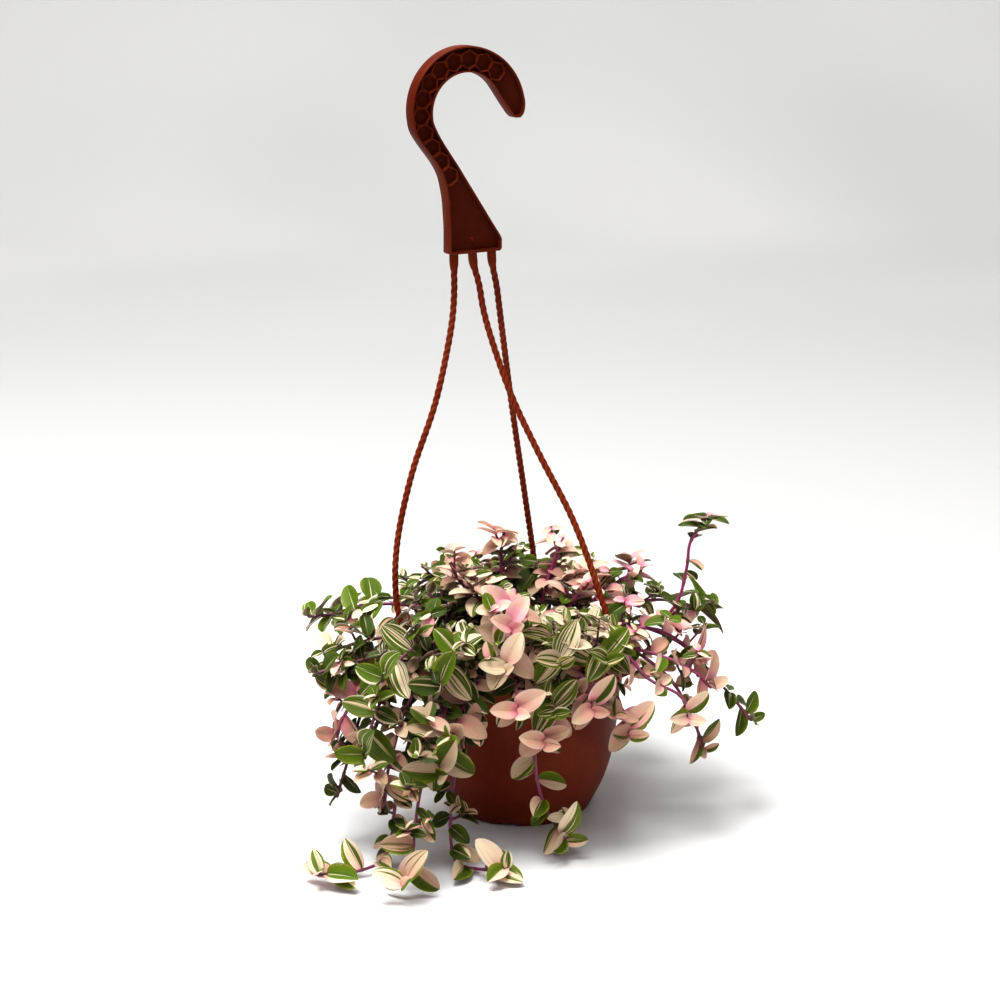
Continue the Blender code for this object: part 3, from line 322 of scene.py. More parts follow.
def ruleVines():
    # The crown's stems stand up in a spiral, and the far side's arch over the rim
    found = []
    draw = np.random.default_rng(stemValues["seed"])
    colours = ("leaf_green", "leaf_cream", "leaf_pink")
    crown, back = stemValues["crown"], stemValues["back"]
    inwards, up = crown["waist"]
    for i in range(crown["count"]):
        azimuth = math.degrees(i * goldenAngle + crown["first"])
        share = math.sqrt((i + 0.5) / crown["count"])
        reach = crown["radii"][0] + share * (crown["radii"][1] - crown["radii"][0])
        height = crown["height"] - crown["fall"] * reach**2 + draw.uniform(-crown["shake"], crown["shake"])
        halfWay = potValues["soilTop"] + up * (height - potValues["soilTop"])
        route = (polar(inwards * reach, azimuth, halfWay), polar(reach, azimuth, height))
        found.append((f"crown_{i + 1}", colours[i % 3], crown["leaf"], crown["leaves"], route))
    (rimRadius, rimHeight), (archRadius, archHeight) = back["rise"]
    for i in range(back["count"]):
        share = (i + 0.5) / back["count"]
        first, last = back["azimuths"]
        azimuth = first + share * (last - first)
        reach = draw.uniform(*back["reach"])
        low = back["drop"][0] if i % 2 else back["drop"][1]
        turns = draw.uniform(-back["turn"], back["turn"], 3)
        route = (polar(rimRadius, azimuth + turns[0], rimHeight + back["stagger"] * (i % 2)),
                 polar(back["arch"] * reach + archRadius, azimuth + turns[1], archHeight),
                 polar(reach, azimuth + turns[2], low + draw.uniform(-back["shake"], back["shake"])))
        found.append((f"back_{i + 1}", colours[i * 2 % 3], back["leaf"], back["leaves"], route))
    return found


def spacedRoot(direction, roots):
    # The nearest free place in the soil to a point below the stem's first stretch
    field = stemValues["rootField"]
    wanted = np.array(direction[:2], float)
    wanted *= min(1.0, field / max(np.linalg.norm(wanted), 1.0)) * stemValues["rootShare"]
    for i in range(stemValues["rootTries"]):
        angle = i * goldenAngle
        step = stemValues["rootSearch"] * math.sqrt(i)
        place = wanted + step * np.array((math.cos(angle), math.sin(angle)))
        if np.linalg.norm(place) > field:
            continue
        if all(np.linalg.norm(place - root) >= stemValues["rootSpacing"] for root in roots):
            return place
    raise ValueError("no room for another stem")


def stemRoute(root, points):
    # Straight up out of the soil, then in a curve through the stem's points
    start = (*root, potValues["soilTop"] + stemValues["aboveSoil"])
    rise = np.array((0.0, 0.0, np.linalg.norm(np.subtract(points[0], start))))
    return evenSteps(hermite([start, *points], firstTangent=rise), stemValues["routeStep"])


def leastDistance(points, others):
    # The least |p - q| of any point with any of the others
    if not len(others):
        return np.inf
    return float(np.sqrt(((points[:, None] - others[None]) ** 2).sum(axis=2).min()))


def nearPot(points, margin):
    # True where a point with this much round it would reach the rim, the wall, the lugs or the soil
    pot = potValues
    radius = np.hypot(points[:, 0], points[:, 1])
    height = points[:, 2]
    rim = (radius > pot["rimInside"] - pot["wall"] - margin) & (radius < pot["rimRadius"] + margin)
    rim &= height < pot["height"] + margin
    wall = (radius <= pot["rimRadius"] + margin) & (height < pot["soilTop"] + 2 * gap + margin)
    azimuth = np.degrees(np.arctan2(points[:, 1], points[:, 0]))
    lugs = np.zeros(len(points), bool)
    for lug in pot["lugAzimuths"].values():
        turnedBy = np.radians(azimuth - lug)
        along = radius * np.sin(turnedBy)
        out = radius * np.cos(turnedBy)
        lugs |= ((np.abs(along) < pot["lugHalfWidth"] + margin) & (radius > pot["rimInside"])
                 & (out > 0) & (out < pot["lugOuter"] + margin)
                 & (height > pot["lugTop"] - pot["lugBelow"] - margin)
                 & (height < pot["lugTop"] + pot["lugAbove"] + margin))
    return rim | wall | lugs


def planStems(wanted):
    # Routes that keep clear of each other, of the arms and of the pot, nudged where they don't
    arms = np.vstack([evenSteps(armLine(name), stemValues["routeStep"]) for name in armValues["routes"]])
    roots, routes = [], []
    for number, (name, _, _, _, points) in enumerate(wanted):
        root = spacedRoot(points[0], roots)
        draw = np.random.default_rng((stemValues["seed"], number))
        laid = np.vstack(routes) if routes else np.empty((0, 3))
        for attempt in range(stemValues["routeTries"]):
            shake = draw.normal(0, stemValues["routeShake"] * attempt, (len(points), 3))
            moved = np.asarray(points, float) + shake
            moved[:, 2] = np.maximum(moved[:, 2], stemValues["routeLowest"])
            route = stemRoute(root, moved)
            free = route[3:]  # the first steps stand in the soil's hole
            if (leastDistance(route, laid) >= stemValues["spacing"]
                    and leastDistance(route, arms) >= stemValues["armSpacing"]
                    and not nearPot(free, stemValues["radius"] + gap).any()
                    and route[:, 2].min() > stemValues["radius"] + stemValues["floorClearance"]):
                break
        else:
            raise ValueError(f"no clear way for the stem {name}")
        roots.append(root)
        routes.append(route)
    return routes


def testBlade(base, along, normal, length, thickness, small=False):
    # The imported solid's plain blade: a fan over stations (a, b, c) at
    # base + along*length*a + side*width/2*b + normal*length*(lift*c - droop*a^2)
    side = np.cross(normal, along)
    stations = stemValues["smallBlade" if small else "largeBlade"]
    width, lift, droop = stemValues["bladeWidth"], stemValues["bladeLift"], stemValues["bladeDroop"]
    middle = np.array([base + along * length * a + side * width * length / 2 * b
                       + normal * length * (lift * c - droop * a * a) for a, b, c in stations])
    count = len(middle)
    points = np.vstack([[base], middle + normal * thickness / 2, middle - normal * thickness / 2])
    tip = 1 + count // 2
    faces = [(0, tip, 1), (0, count, tip)]
    faces += [(i, tip, i + 1) for i in range(1, tip - 1)] + [(i, tip, i + 1) for i in range(tip + 1, count)]
    faces += [tuple(i + count if i else 0 for i in reversed(face)) for face in faces]
    faces += [(0, 1, 1 + count), (0, 2 * count, count)]
    for i in range(1, count):
        faces += [(i, i + 1, i + 1 + count), (i, i + 1 + count, i + count)]
    return points, faces


def prismChain(route, radius):
    # A four-sided tube round a route, for testing what would touch a stem
    tangent = unitRows(np.gradient(route, axis=0))
    helper = np.where(np.abs(tangent[:, 2:]) > 0.9, (1.0, 0.0, 0.0), (0.0, 0.0, 1.0))
    first = unitRows(np.cross(tangent, helper))
    second = np.cross(tangent, first)
    ring = np.stack([route + radius * d for d in (first, second, -first, -second)], axis=1)
    faces = []
    for i in range(len(route) - 1):
        for k in range(4):
            a, b = 4 * i + k, 4 * i + (k + 1) % 4
            faces += [(a, b, b + 4), (a, b + 4, a + 4)]
    return ring.reshape(-1, 3), faces


def treeOf(shapes):
    # One tree for overlap tests from several (points, faces)
    points, faces, count = [], [], 0
    for shapePoints, shapeFaces in shapes:
        points.append(shapePoints)
        faces += [(a + count, b + count, c + count) for a, b, c in shapeFaces]
        count += len(shapePoints)
    if not faces:
        return None
    return BVHTree.FromPolygons([tuple(p) for p in np.vstack(points)], faces)


def armTree(step, margin):
    # The three arms, this much thicker than they are
    return treeOf([prismChain(evenSteps(armLine(name), step), armValues["radius"] + margin)
                   for name in armValues["routes"]])


def turnAbout(vector, axis, radians):
    # v cos + (k x v) sin + k (k . v) (1 - cos)
    return (vector * math.cos(radians) + np.cross(axis, vector) * math.sin(radians)
            + axis * np.dot(axis, vector) * (1 - math.cos(radians)))


def leafFrame(route, back, number, draw, attempt):
    # Base, direction and upper-side normal of one leaf; number counts back from the tip.
    # The tip turns up to the light, so its leaves make a star, and older ones lie in two ranks.
    place = np.clip(len(route) - 1 - back / stemValues["routeStep"], 2, len(route) - 1)
    low = int(min(place, len(route) - 2))
    base = route[low] + (route[low + 1] - route[low]) * (place - low)
    tangent = unit(route[low + 1] - route[low - 1])
    reach = max(math.hypot(base[0], base[1]), stemValues["innerReach"])
    outward = np.array((base[0], base[1], 0.0)) / reach
    steep = min(max((tangent[2] - stemValues["steep"][0]) / stemValues["steep"][1], 0.0), 1.0)
    fadeFrom, fadeOver = stemValues["leanFade"]
    near = min(max((fadeFrom - base[1]) / fadeOver, 0.0), 1.0)
    lean = stemValues["leanFar"] + (stemValues["leanNear"] - stemValues["leanFar"]) * near
    lean *= 1 - stemValues["steepLean"] * steep
    up = unit(outward * lean + np.array((0.0, 0.0, stemValues["upward"])) + 1e-3)
    side = unit(np.cross(tangent, up) + 1e-6)
    lifted = upTo(stemValues["tipLift"], number)
    axis = unit(tangent * (1 - lifted) + np.cross(side, tangent) * lifted)
    least, more = stemValues["rollNoise"]
    roll = upTo(stemValues["tipRoll"], number) + draw.normal(0, least + more * attempt)
    least, more = stemValues["spreadNoise"]
    spread = upTo(stemValues["spread"], number)
    spread += (stemValues["flatSpread"] - spread) * steep + draw.normal(0, least + more * attempt)
    spread = math.radians(spread)
    across = turnAbout(side if number % 2 else -side, axis, math.radians(roll))
    lift = up * draw.uniform(*stemValues["lift"])
    along = unit(axis * math.cos(spread) + across * math.sin(spread) + lift)
    facing = axis * lifted + up * (1 - lifted) + outward * lean * stemValues["facingLean"]
    facing = facing + draw.normal(0, stemValues["facingNoise"], 3)
    return base, along, unit(facing - along * np.dot(along, facing))


def leafPlaces(count):
    # Distances back from the tip: a close rosette first, then even spaces
    rosette = stemValues["rosette"]
    beyond = rosette[-1] + stemValues["leafSpacing"] * np.arange(1, count)
    return np.concatenate([rosette, beyond])[:count]


def beyondRoot(base, along, normal, length, small):
    # The same blade without its first quarter, which crosses its neighbours' in the stem
    cut = stemValues["rootPart"]
    return (base + along * cut * length, along, normal, (1 - cut) * length, stemValues["bladeThickness"],
            small)


def planLeaves(wanted, routes):
    # Each stem's leaves, turned or shortened where they would touch another stem's
    clearance = stemValues["bladeClearance"]
    arms = armTree(*stemValues["armTest"])
    stems = [prismChain(route, stemValues["radius"] + clearance) for route in routes]
    laid = []
    plans = []
    for vine, (_, _, size, count, _) in enumerate(wanted):
        others = treeOf(stems[:vine] + stems[vine + 1:])
        leaves = treeOf(laid)
        trees = [tree for tree in (arms, others, leaves) if tree]
        own, ownTree = [], None
        for number, back in enumerate(leafPlaces(count)):
            growth = upTo(stemValues["growth"], number)
            small = growth < stemValues["smallGrowth"]
            draw = np.random.default_rng((stemValues["seed"], vine, number))
            for attempt in range(stemValues["tries"]):
                base, along, normal = leafFrame(routes[vine], back, number, draw, attempt)
                length = size * growth * draw.uniform(*stemValues["lengthRange"])
                length = length * (1 - stemValues["shrink"] * attempt)
                thickness = stemValues["bladeThickness"] + 2 * clearance
                points, faces = testBlade(base, along, normal, length, thickness, small)
                if points[:, 2].min() < stemValues["floorClearance"]:
                    continue
                if nearPot(points[1:], stemValues["potClearance"]).any():
                    continue
                shape = treeOf([(points, faces)])
                if any(tree.overlap(shape) for tree in trees):
                    continue
                if ownTree and attempt < stemValues["crossingTries"] and ownTree.overlap(shape):
                    continue
                own.append((base, along, normal, length, small))
                ownTree = treeOf([testBlade(*beyondRoot(*leaf)) for leaf in own])
                break
        laid += [testBlade(*leaf[:4], stemValues["bladeThickness"], leaf[4]) for leaf in own]
        plans.append(own)
    return plans, laid


wantedVines = list(vines) + ruleVines()
stemRoutes = planStems(wantedVines)
largeLeaves, laidBlades = planLeaves(wantedVines, stemRoutes)
print("planned", len(stemRoutes), "stems and", sum(map(len, largeLeaves)), "large leaves")


# Short side shoots with small leaves, which fill the mound
shootValues = {
    "spacing": 7.5, "length": (7.0, 17.0), "radius": 0.5, "lift": 0.55, "leaf": (9.0, 14.5),
    "places": (0.4, 1.6, 3.4, 5.8, 8.8), "stemLeaf": (10.0, 16.0), "stemLeafSpacing": 6.5,
    "moundHeight": 96.0, "leftEdge": -18.0, "leftHeight": 26.0, "uprightEdge": 84.0, "uprightHeight": 118.0,
    "rimEdges": (-54.0, 44.0),
    # how often a place has a side shoot, and how often a leaf
    "share": {"mound": (1.0, 1.0), "rim": (0.5, 0.6), "left": (0.6, 0.8), "trail": (0.05, 0.25),
              "upright": (0.0, 0.12)},
    # stems that end in a flat star: leaves, their length, and how steeply they rise
    "stars": {"upright": (6, 14.0, 0.1)}, "starTurn": 0.5, "starRise": (0.2, 1.8), "starLength": (0.8, 1.1),
    "tries": 5, "boxMargin": 3.0, "clearance": 0.25, "potClearance": 0.4, "floorClearance": 0.5,
    "shootClearance": 0.2, "armTest": (3.0, 0.5),
    "rootPart": 1.5, "firstBack": 9.0, "shootEnd": 4.0, "leafEnd": 2.0, "spacingRange": (0.8, 1.25),
    "ahead": 0.5, "bow": 0.16, "points": 9, "leafRange": (0.85, 1.1), "firstNumber": 7, "seed": 77,
}


def insideBox(points):
    # True if every point lies in the frame's box grown by the margin
    low, high = (np.array(corner) / mm for corner in boxBefore)
    margin = shootValues["boxMargin"]
    return (points > low - margin).all() and (points < high + margin).all()


def regionShare(base):
    # How full the plant is here: the upright stem, the mound, its edge, the left side or a trailing stem
    own = shootValues
    if base[0] > own["uprightEdge"] and base[2] > own["uprightHeight"]:
        return own["share"]["upright"]
    if base[2] > own["moundHeight"]:
        return own["share"]["mound" if own["rimEdges"][0] < base[0] < own["rimEdges"][1] else "rim"]
    left = base[0] < own["leftEdge"] and base[2] > own["leftHeight"]
    return own["share"]["left" if left else "trail"]


def starLeaves(name, end, draw):
    # Leaves at equal turns round a stem's end, each with its own rise and length
    own = shootValues
    leaves = []
    count, length, rise = own["stars"].get(name, (0, 0.0, 0.0))
    for number in range(count):
        turn = 2 * math.pi * number / count + own["starTurn"]
        up = rise * draw.uniform(*own["starRise"])
        along = unit(np.array((math.cos(turn), math.sin(turn), up)))
        normal = unit(np.array((0, 0, 1.0)) - along * along[2])
        leaves.append((end, along, normal, length * draw.uniform(*own["starLength"]), True))
    return leaves


def planShoots():
    # Along each stem, side shoots that end in a rosette, and small leaves between the large ones
    own = shootValues
    arms = armTree(*own["armTest"])
    stems = treeOf([prismChain(route, stemValues["radius"]) for route in stemRoutes])
    fixed = treeOf(laidBlades)
    laid = []
    found = []
    for vine, route in enumerate(stemRoutes):
        draw = np.random.default_rng((stemValues["seed"], vine, own["seed"]))
        trees = [tree for tree in (arms, stems, fixed, treeOf(laid)) if tree]
        shoots, leaves, blades = [], [], []

        def placed(frame, length):
            # Adds the leaf if it is clear of the pot, the arms, the stems and the other leaves
            base, along, normal = frame
            cut = own["rootPart"]
            points, faces = testBlade(base + along * cut, along, normal, length - cut, own["clearance"],
                                      small=True)
            if points[:, 2].min() < own["floorClearance"] or not insideBox(points):
                return False
            if nearPot(points, own["potClearance"]).any():
                return False
            shape = treeOf([(points, faces)])
            if any(tree.overlap(shape) for tree in trees):
                return False
            if blades and treeOf(blades).overlap(shape):
                return False
            blades.append((points, faces))
            leaves.append((base, along, normal, length, True))
            return True

        total = (len(route) - 1) * stemValues["routeStep"]
        back = own["firstBack"]
        while back < total - own["shootEnd"]:
            place = int(len(route) - 1 - back / stemValues["routeStep"])
            base = route[place]
            back += own["spacing"] * draw.uniform(*own["spacingRange"])
            if draw.random() > regionShare(base)[0]:
                continue
            tangent = unit(route[place + 1] - route[place - 1])
            for attempt in range(own["tries"]):
                aside = draw.normal(0, 1, 3)
                aside = unit(aside - tangent * np.dot(aside, tangent))
                heading = unit(aside + tangent * own["ahead"] + np.array((0, 0, own["lift"])))
                length = draw.uniform(*own["length"])
                t = np.linspace(0, 1, own["points"])[:, None]
                line = base + heading * length * t + np.array((0, 0, own["bow"] * length)) * t**2
                if nearPot(line[2:], own["radius"] + gap).any() or not insideBox(line):
                    continue
                thin = treeOf([prismChain(line[3:], own["radius"] + own["shootClearance"])])
                if any(tree.overlap(thin) for tree in trees):
                    continue
                size = draw.uniform(*own["leaf"])
                kept = len(leaves)
                fine = evenSteps(line, stemValues["routeStep"])
                for number, distance in enumerate(own["places"]):
                    if distance > length - own["leafEnd"]:
                        break
                    growth = stemValues["growth"][number]
                    for again in range(own["tries"]):
                        leaf = leafFrame(fine, distance, number, draw, again)
                        if placed(leaf, size * growth * draw.uniform(*own["leafRange"])):
                            break
                if len(leaves) > kept + 1:
                    shoots.append(line)
                    break
                del leaves[kept:], blades[kept:]
        back = stemValues["rosette"][-1] + own["stemLeafSpacing"]
        number = own["firstNumber"]
        while back < total - own["leafEnd"]:
            place = int(len(route) - 1 - back / stemValues["routeStep"])
            if draw.random() < regionShare(route[place])[1]:
                for attempt in range(own["tries"]):
                    leaf = leafFrame(route, back, number, draw, attempt)
                    if placed(leaf, draw.uniform(*own["stemLeaf"])):
                        break
            back += own["stemLeafSpacing"]
            number += 1
        leaves += starLeaves(wantedVines[vine][0], route[-1], draw)
        laid += blades
        found.append((shoots, leaves))
    return found


sideGrowth = planShoots()
shootCount, leafCount = (sum(len(growth[k]) for growth in sideGrowth) for k in range(2))
print("planned", shootCount, "side shoots and", leafCount, "small leaves")


# Materials: one small class for a socket's arithmetic and one method that adds any node
class Value:
    # A socket in a material; +, -, *, / and ** on it add Math nodes
    def __init__(self, shader, socket):
        self.shader = shader
        self.socket = socket

    def math(self, operation, *others, clamp=False):
        return self.shader.add("Math", {"operation": operation, "use_clamp": clamp},
                               {i: value for i, value in enumerate((self, *others))})

    def reflected(self, operation, other):
        return self.shader.add("Math", {"operation": operation}, {0: other, 1: self})

    def __add__(self, other):
        return self.math("ADD", other)

    def __sub__(self, other):
        return self.math("SUBTRACT", other)

    def __mul__(self, other):
        return self.math("MULTIPLY", other)

    def __truediv__(self, other):
        return self.math("DIVIDE", other)

    def __pow__(self, other):
        return self.math("POWER", other)

    def __rsub__(self, other):
        return self.reflected("SUBTRACT", other)

    def __rtruediv__(self, other):
        return self.reflected("DIVIDE", other)

    __radd__ = __add__
    __rmul__ = __mul__

    def clamped(self):  # held between 0 and 1
        return self.math("ADD", 0.0, clamp=True)

    def size(self):  # without its sign
        return self.math("ABSOLUTE")


class Shader:
    def __init__(self, name, diffuse):
        self.material = bpy.data.materials.new(name)
        self.material.use_nodes = True
        self.material.diffuse_color = (*diffuse, 1.0)
        self.tree = self.material.node_tree
        self.principled = self.tree.nodes["Principled BSDF"]

    def add(self, kind, settings=None, sockets=None, output=0):
        # A node of any type: settings first, then what its sockets hold or are linked to
        node = self.tree.nodes.new("ShaderNode" + kind)
        for name, value in (settings or {}).items():
            setattr(node, name, value)
        for name, value in (sockets or {}).items():
            self.feed(node.inputs[name], value)
        return Value(self, node.outputs[output])

    def feed(self, socket, value):
        if isinstance(value, Value):
            self.tree.links.new(value.socket, socket)
        elif isinstance(value, tuple) and len(value) == 3 and socket.type == "RGBA":
            socket.default_value = (*value, 1.0)
        else:
            socket.default_value = value

    def mix(self, share, first, second):
        return self.add("Mix", {"data_type": "RGBA", "clamp_factor": True}, {0: share, 6: first, 7: second},
                        output=2)

    def step(self, value, low, high):
        # 0 below low, 1 above high, smooth between
        return self.add("MapRange", {"interpolation_type": "SMOOTHSTEP"},
                        {"Value": value, "From Min": low, "From Max": high})

    def tinted(self, colour, other, value, low, high, share=1.0):
        # From the colour to this share of the other one, as the value goes from low to high
        return self.mix(self.step(value, low, high) * share, colour, other)

    def noise(self, vector, scale, detail=2.0, roughness=0.5):
        return self.add("TexNoise", {"noise_dimensions": "3D"},
                        {"Vector": vector, "Scale": scale, "Detail": detail, "Roughness": roughness})

    def place(self):
        return self.add("TexCoord", output="Object")

    def attribute(self, name):
        return self.add("Attribute", {"attribute_type": "GEOMETRY", "attribute_name": name}, output="Fac")

    def combine(self, x, y, z):
        return self.add("CombineXYZ", {}, {"X": x, "Y": y, "Z": z})

    def bump(self, height, strength, distance):
        return self.add("Bump", {}, {"Strength": strength, "Distance": distance, "Height": height})

    def surface(self, look, colour, share, height=None):
        # The material: roughness goes from the look's first value to its second with the share
        low, high = look["roughness"]
        sockets = {"Base Color": colour, "Roughness": low + (high - low) * share}
        words = {"specular": "Specular IOR Level", "subsurface": "Subsurface Weight",
                 "subsurfaceScale": "Subsurface Scale", "subsurfaceRadius": "Subsurface Radius"}
        sockets.update({socket: look[name] for name, socket in words.items() if name in look})
        if height is not None:
            sockets["Normal"] = self.bump(height, *look["bump"])
        for name, value in sockets.items():
            self.feed(self.principled.inputs[name], value)
        return self.material


# Meshes
def newObject(name, data):
    # Makes the object and links it to the scene
    thing = bpy.data.objects.new(name, data)
    bpy.context.scene.collection.objects.link(thing)
    return thing


def meshPiece(name, points, faces, materials, nodes, sharp, faceMaterials=None, pointData=None,
              faceData=None, uv=None):
    # A mesh object in the row frame, its faces turned outwards, that stands for CAD nodes
    mesh = bpy.data.meshes.new(name)
    mesh.from_pydata((np.asarray(points) * mm).tolist(), [], faces)
    for material in materials:
        mesh.materials.append(material)
    if faceMaterials is not None:
        mesh.polygons.foreach_set("material_index", np.asarray(faceMaterials, np.int32))
    for domain, data in (("POINT", pointData), ("FACE", faceData)):
        for label, values in (data or {}).items():
            attribute = mesh.attributes.new(label, "FLOAT", domain)
            attribute.data.foreach_set("value", np.asarray(values, np.float32))
    if uv is not None:
        mesh.uv_layers.new(name="UVMap").data.foreach_set("uv", np.asarray(uv, np.float32).ravel())
    mesh.polygons.foreach_set("use_smooth", [True] * len(mesh.polygons))
    mesh.set_sharp_from_angle(angle=math.radians(sharp))
    mesh.update()
    piece = newObject(name, mesh)
    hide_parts(*nodes)
    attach(piece, "root")
    return piece


def outwards(points, faces):
    # The faces, all turned over if their signed volume, sum of a . (b x c) / 6, is below zero
    points = np.asarray(points)
    corners = np.array([(f[0], f[k], f[k + 1]) for f in faces for k in range(1, len(f) - 1)])
    a, b, c = (points[corners[:, k]] for k in range(3))
    if np.einsum("ij,ij->i", a, np.cross(b, c)).sum() < 0:
        return [tuple(reversed(face)) for face in faces]
    return faces


def loopFaces(rows, columns, start=0):
    # Quads between rows of closed loops: row r, column c is point start + r * columns + c
    r, c = np.meshgrid(np.arange(rows - 1), np.arange(columns), indexing="ij")
    following = (c + 1) % columns
    quads = np.stack([r * columns + c, r * columns + following, (r + 1) * columns + following,
                      (r + 1) * columns + c], axis=-1)
    return (quads.reshape(-1, 4) + start).tolist()


def closedTube(rings):
    # Rings of points (rows, columns, 3) closed by a fan round each end's middle point
    rows, columns = rings.shape[:2]
    points = np.vstack([rings.reshape(-1, 3), rings[0].mean(axis=0), rings[-1].mean(axis=0)])
    faces = loopFaces(rows, columns)
    first, last = rows * columns, rows * columns + 1
    around = np.arange(columns)
    following = (around + 1) % columns
    faces += np.stack([np.full(columns, first), following, around], axis=-1).tolist()
    end = (rows - 1) * columns
    faces += np.stack([np.full(columns, last), end + around, end + following], axis=-1).tolist()
    return points, faces


def framesAlong(line, helper):
    # At every point: first = helper made square to the tangent, second = tangent x first
    tangent = unitRows(np.gradient(line, axis=0))
    first = unitRows(helper - tangent * (tangent @ helper)[:, None])
    return first, np.cross(tangent, first)


def joined(shapes):
    # Several (points, faces) as one
    points, faces, count = [], [], 0
    for shapePoints, shapeFaces in shapes:
        points.append(shapePoints)
        faces += [tuple(i + count for i in face) for face in shapeFaces]
        count += len(shapePoints)
    return np.vstack(points), faces


# Hanger: brown plastic, moulded
hangerLook = {
    "colour": (0.15, 0.0145, 0.003), "light": (0.22, 0.03, 0.008), "dark": (0.055, 0.0045, 0.001),
    "roughness": (0.4, 0.55), "specular": 0.03, "patches": 40.0, "lightFrom": (0.35, 0.7),
    # grooveDark: how far the painted shade of the groove attribute goes towards the dark colour
    "grain": 900.0, "darkFrom": (0.5, 0.8, 0.35), "grooveDark": 0.85,
    "bump": (0.25, 0.00005), "tones": {"hook": 0.55, "arm": 1.08},
# tones: the hook is painted darker than the arms, as if in shade, though both are the same plastic
}


def hangerPlastic(part):
    # Lighter in broad patches, darker in the grain, with painted shade in the grooves and recesses and a
    # darker top of the arms from the groove attribute, times the part's tone, which paints the hook darker
    # as if in shade
    look = hangerLook
    shader = Shader(f"hanger_plastic_{part}", look["colour"])
    place = shader.place()
    broad = shader.noise(place, look["patches"], 3.0)
    fine = shader.noise(place, look["grain"], 2.0)
    colour = shader.tinted(look["colour"], look["light"], broad, *look["lightFrom"])
    colour = shader.tinted(colour, look["dark"], fine, *look["darkFrom"])
    # painted shade in the grooves and recesses
    colour = shader.mix(shader.attribute("groove") * look["grooveDark"], colour, look["dark"])
    # the part's tone: painted shade on the hook, painted light on the arms
    colour = shader.add("VectorMath", {"operation": "SCALE"}, {0: colour, "Scale": look["tones"][part]})
    return shader.surface(look, colour, broad, fine)


def hookEdges():
    # Matching points on the outer and the inner edge: the foot and neck, the arc, and the tip
    own = hookValues
    outerAngles = np.radians(np.linspace(*own["outerArc"], own["arcPoints"]))
    innerAngles = np.radians(np.linspace(*own["innerArc"], own["arcPoints"]))
    most, start, power = own["widening"]  # towards the tip: r = R + w * (1 - angle / start)^p
    wide = most * np.clip(1 - np.degrees(outerAngles) / start, 0, 1) ** power
    arcs = ((own["outerCentre"], own["outerRadius"] + wide, outerAngles),
            (own["innerCentre"], own["innerRadius"], innerAngles))
    outer, inner = (np.column_stack([x + radius * np.cos(angle), y + radius * np.sin(angle)])
                    for (x, y), radius, angle in arcs)
    both = np.vstack([[(*a, *b) for a, b in own["foot"]], np.hstack([outer, inner]),
                      [(*a, *b) for a, b in own["tip"]]])
    fine = hermite(both, perSpan=24)
    middle = (fine[:, :2] + fine[:, 2:]) / 2
    length = arcLength(middle)
    marks = np.linspace(0, length[-1], int(length[-1] / own["step"]))
    even = np.column_stack([np.interp(marks, length, fine[:, k]) for k in range(4)])
    return even[:, :2], even[:, 2:], marks, length[-1] - marks


def hookCells():
    # Centre and turn of each six-sided cell
    own = hookValues
    cells = []
    for i in range(own["arcCells"]):
        angle = own["cellFirst"] + i * own["cellPitch"]
        x, y, _ = polar(own["cellRing"], angle)
        cells.append((own["innerCentre"][0] + x, own["innerCentre"][1] + y, angle))
    (x0, y0), (x1, y1) = own["straightCells"][0], own["straightCells"][-1]
    across = math.degrees(math.atan2(y1 - y0, x1 - x0)) - 90
    return cells + [(x, y, across) for x, y in own["straightCells"]]


def hookDepth(x, y, inset):
    # Half depth = web + rib height * rib mask, with the flange all round, and the painted shade of the
    # recesses, which grows the deeper they are. The rib mask is 1 where the distance outside the nearest
    # cell is between 0 and the rib's width, and the pin adds pinHeight * exp(-(distance / pinRadius)^4) and
    # takes no painted shade.
    own = hookValues
    distance = np.full(x.shape, np.inf)
    apothem = own["cellRadius"] * math.cos(math.radians(30))
    for cx, cy, turn in hookCells():
        six = np.radians(turn + 30 + 60 * np.arange(3))
        offset = np.abs((x - cx)[..., None] * np.cos(six) + (y - cy)[..., None] * np.sin(six))
        distance = np.minimum(distance, offset.max(axis=-1) - apothem)
    soft = own["ribSoft"]
    rib = smoothStep(distance / soft + 0.5) * smoothStep((own["rib"] - distance) / soft + 0.5)
    half = own["web"] + (own["ribTop"] - own["web"]) * rib
    flange = smoothStep((own["flange"] - inset) / own["flangeSoft"] + 0.5)
    half = np.maximum(half, own["web"] + (own["halfDepth"] - own["web"]) * flange)
    pin = np.exp(-(np.hypot(x - own["pin"][0], y - own["pin"][1]) / own["pinRadius"]) ** 4)
    half += own["pinHeight"] * pin
    half -= own["chamfer"] * np.clip(1 - inset / own["chamfer"], 0, 1)
    deep = smoothStep((own["halfDepth"] - own["chamfer"] - half) / own["halfDepth"])
    return half, deep * (own["recessShade"] * (1 - pin))


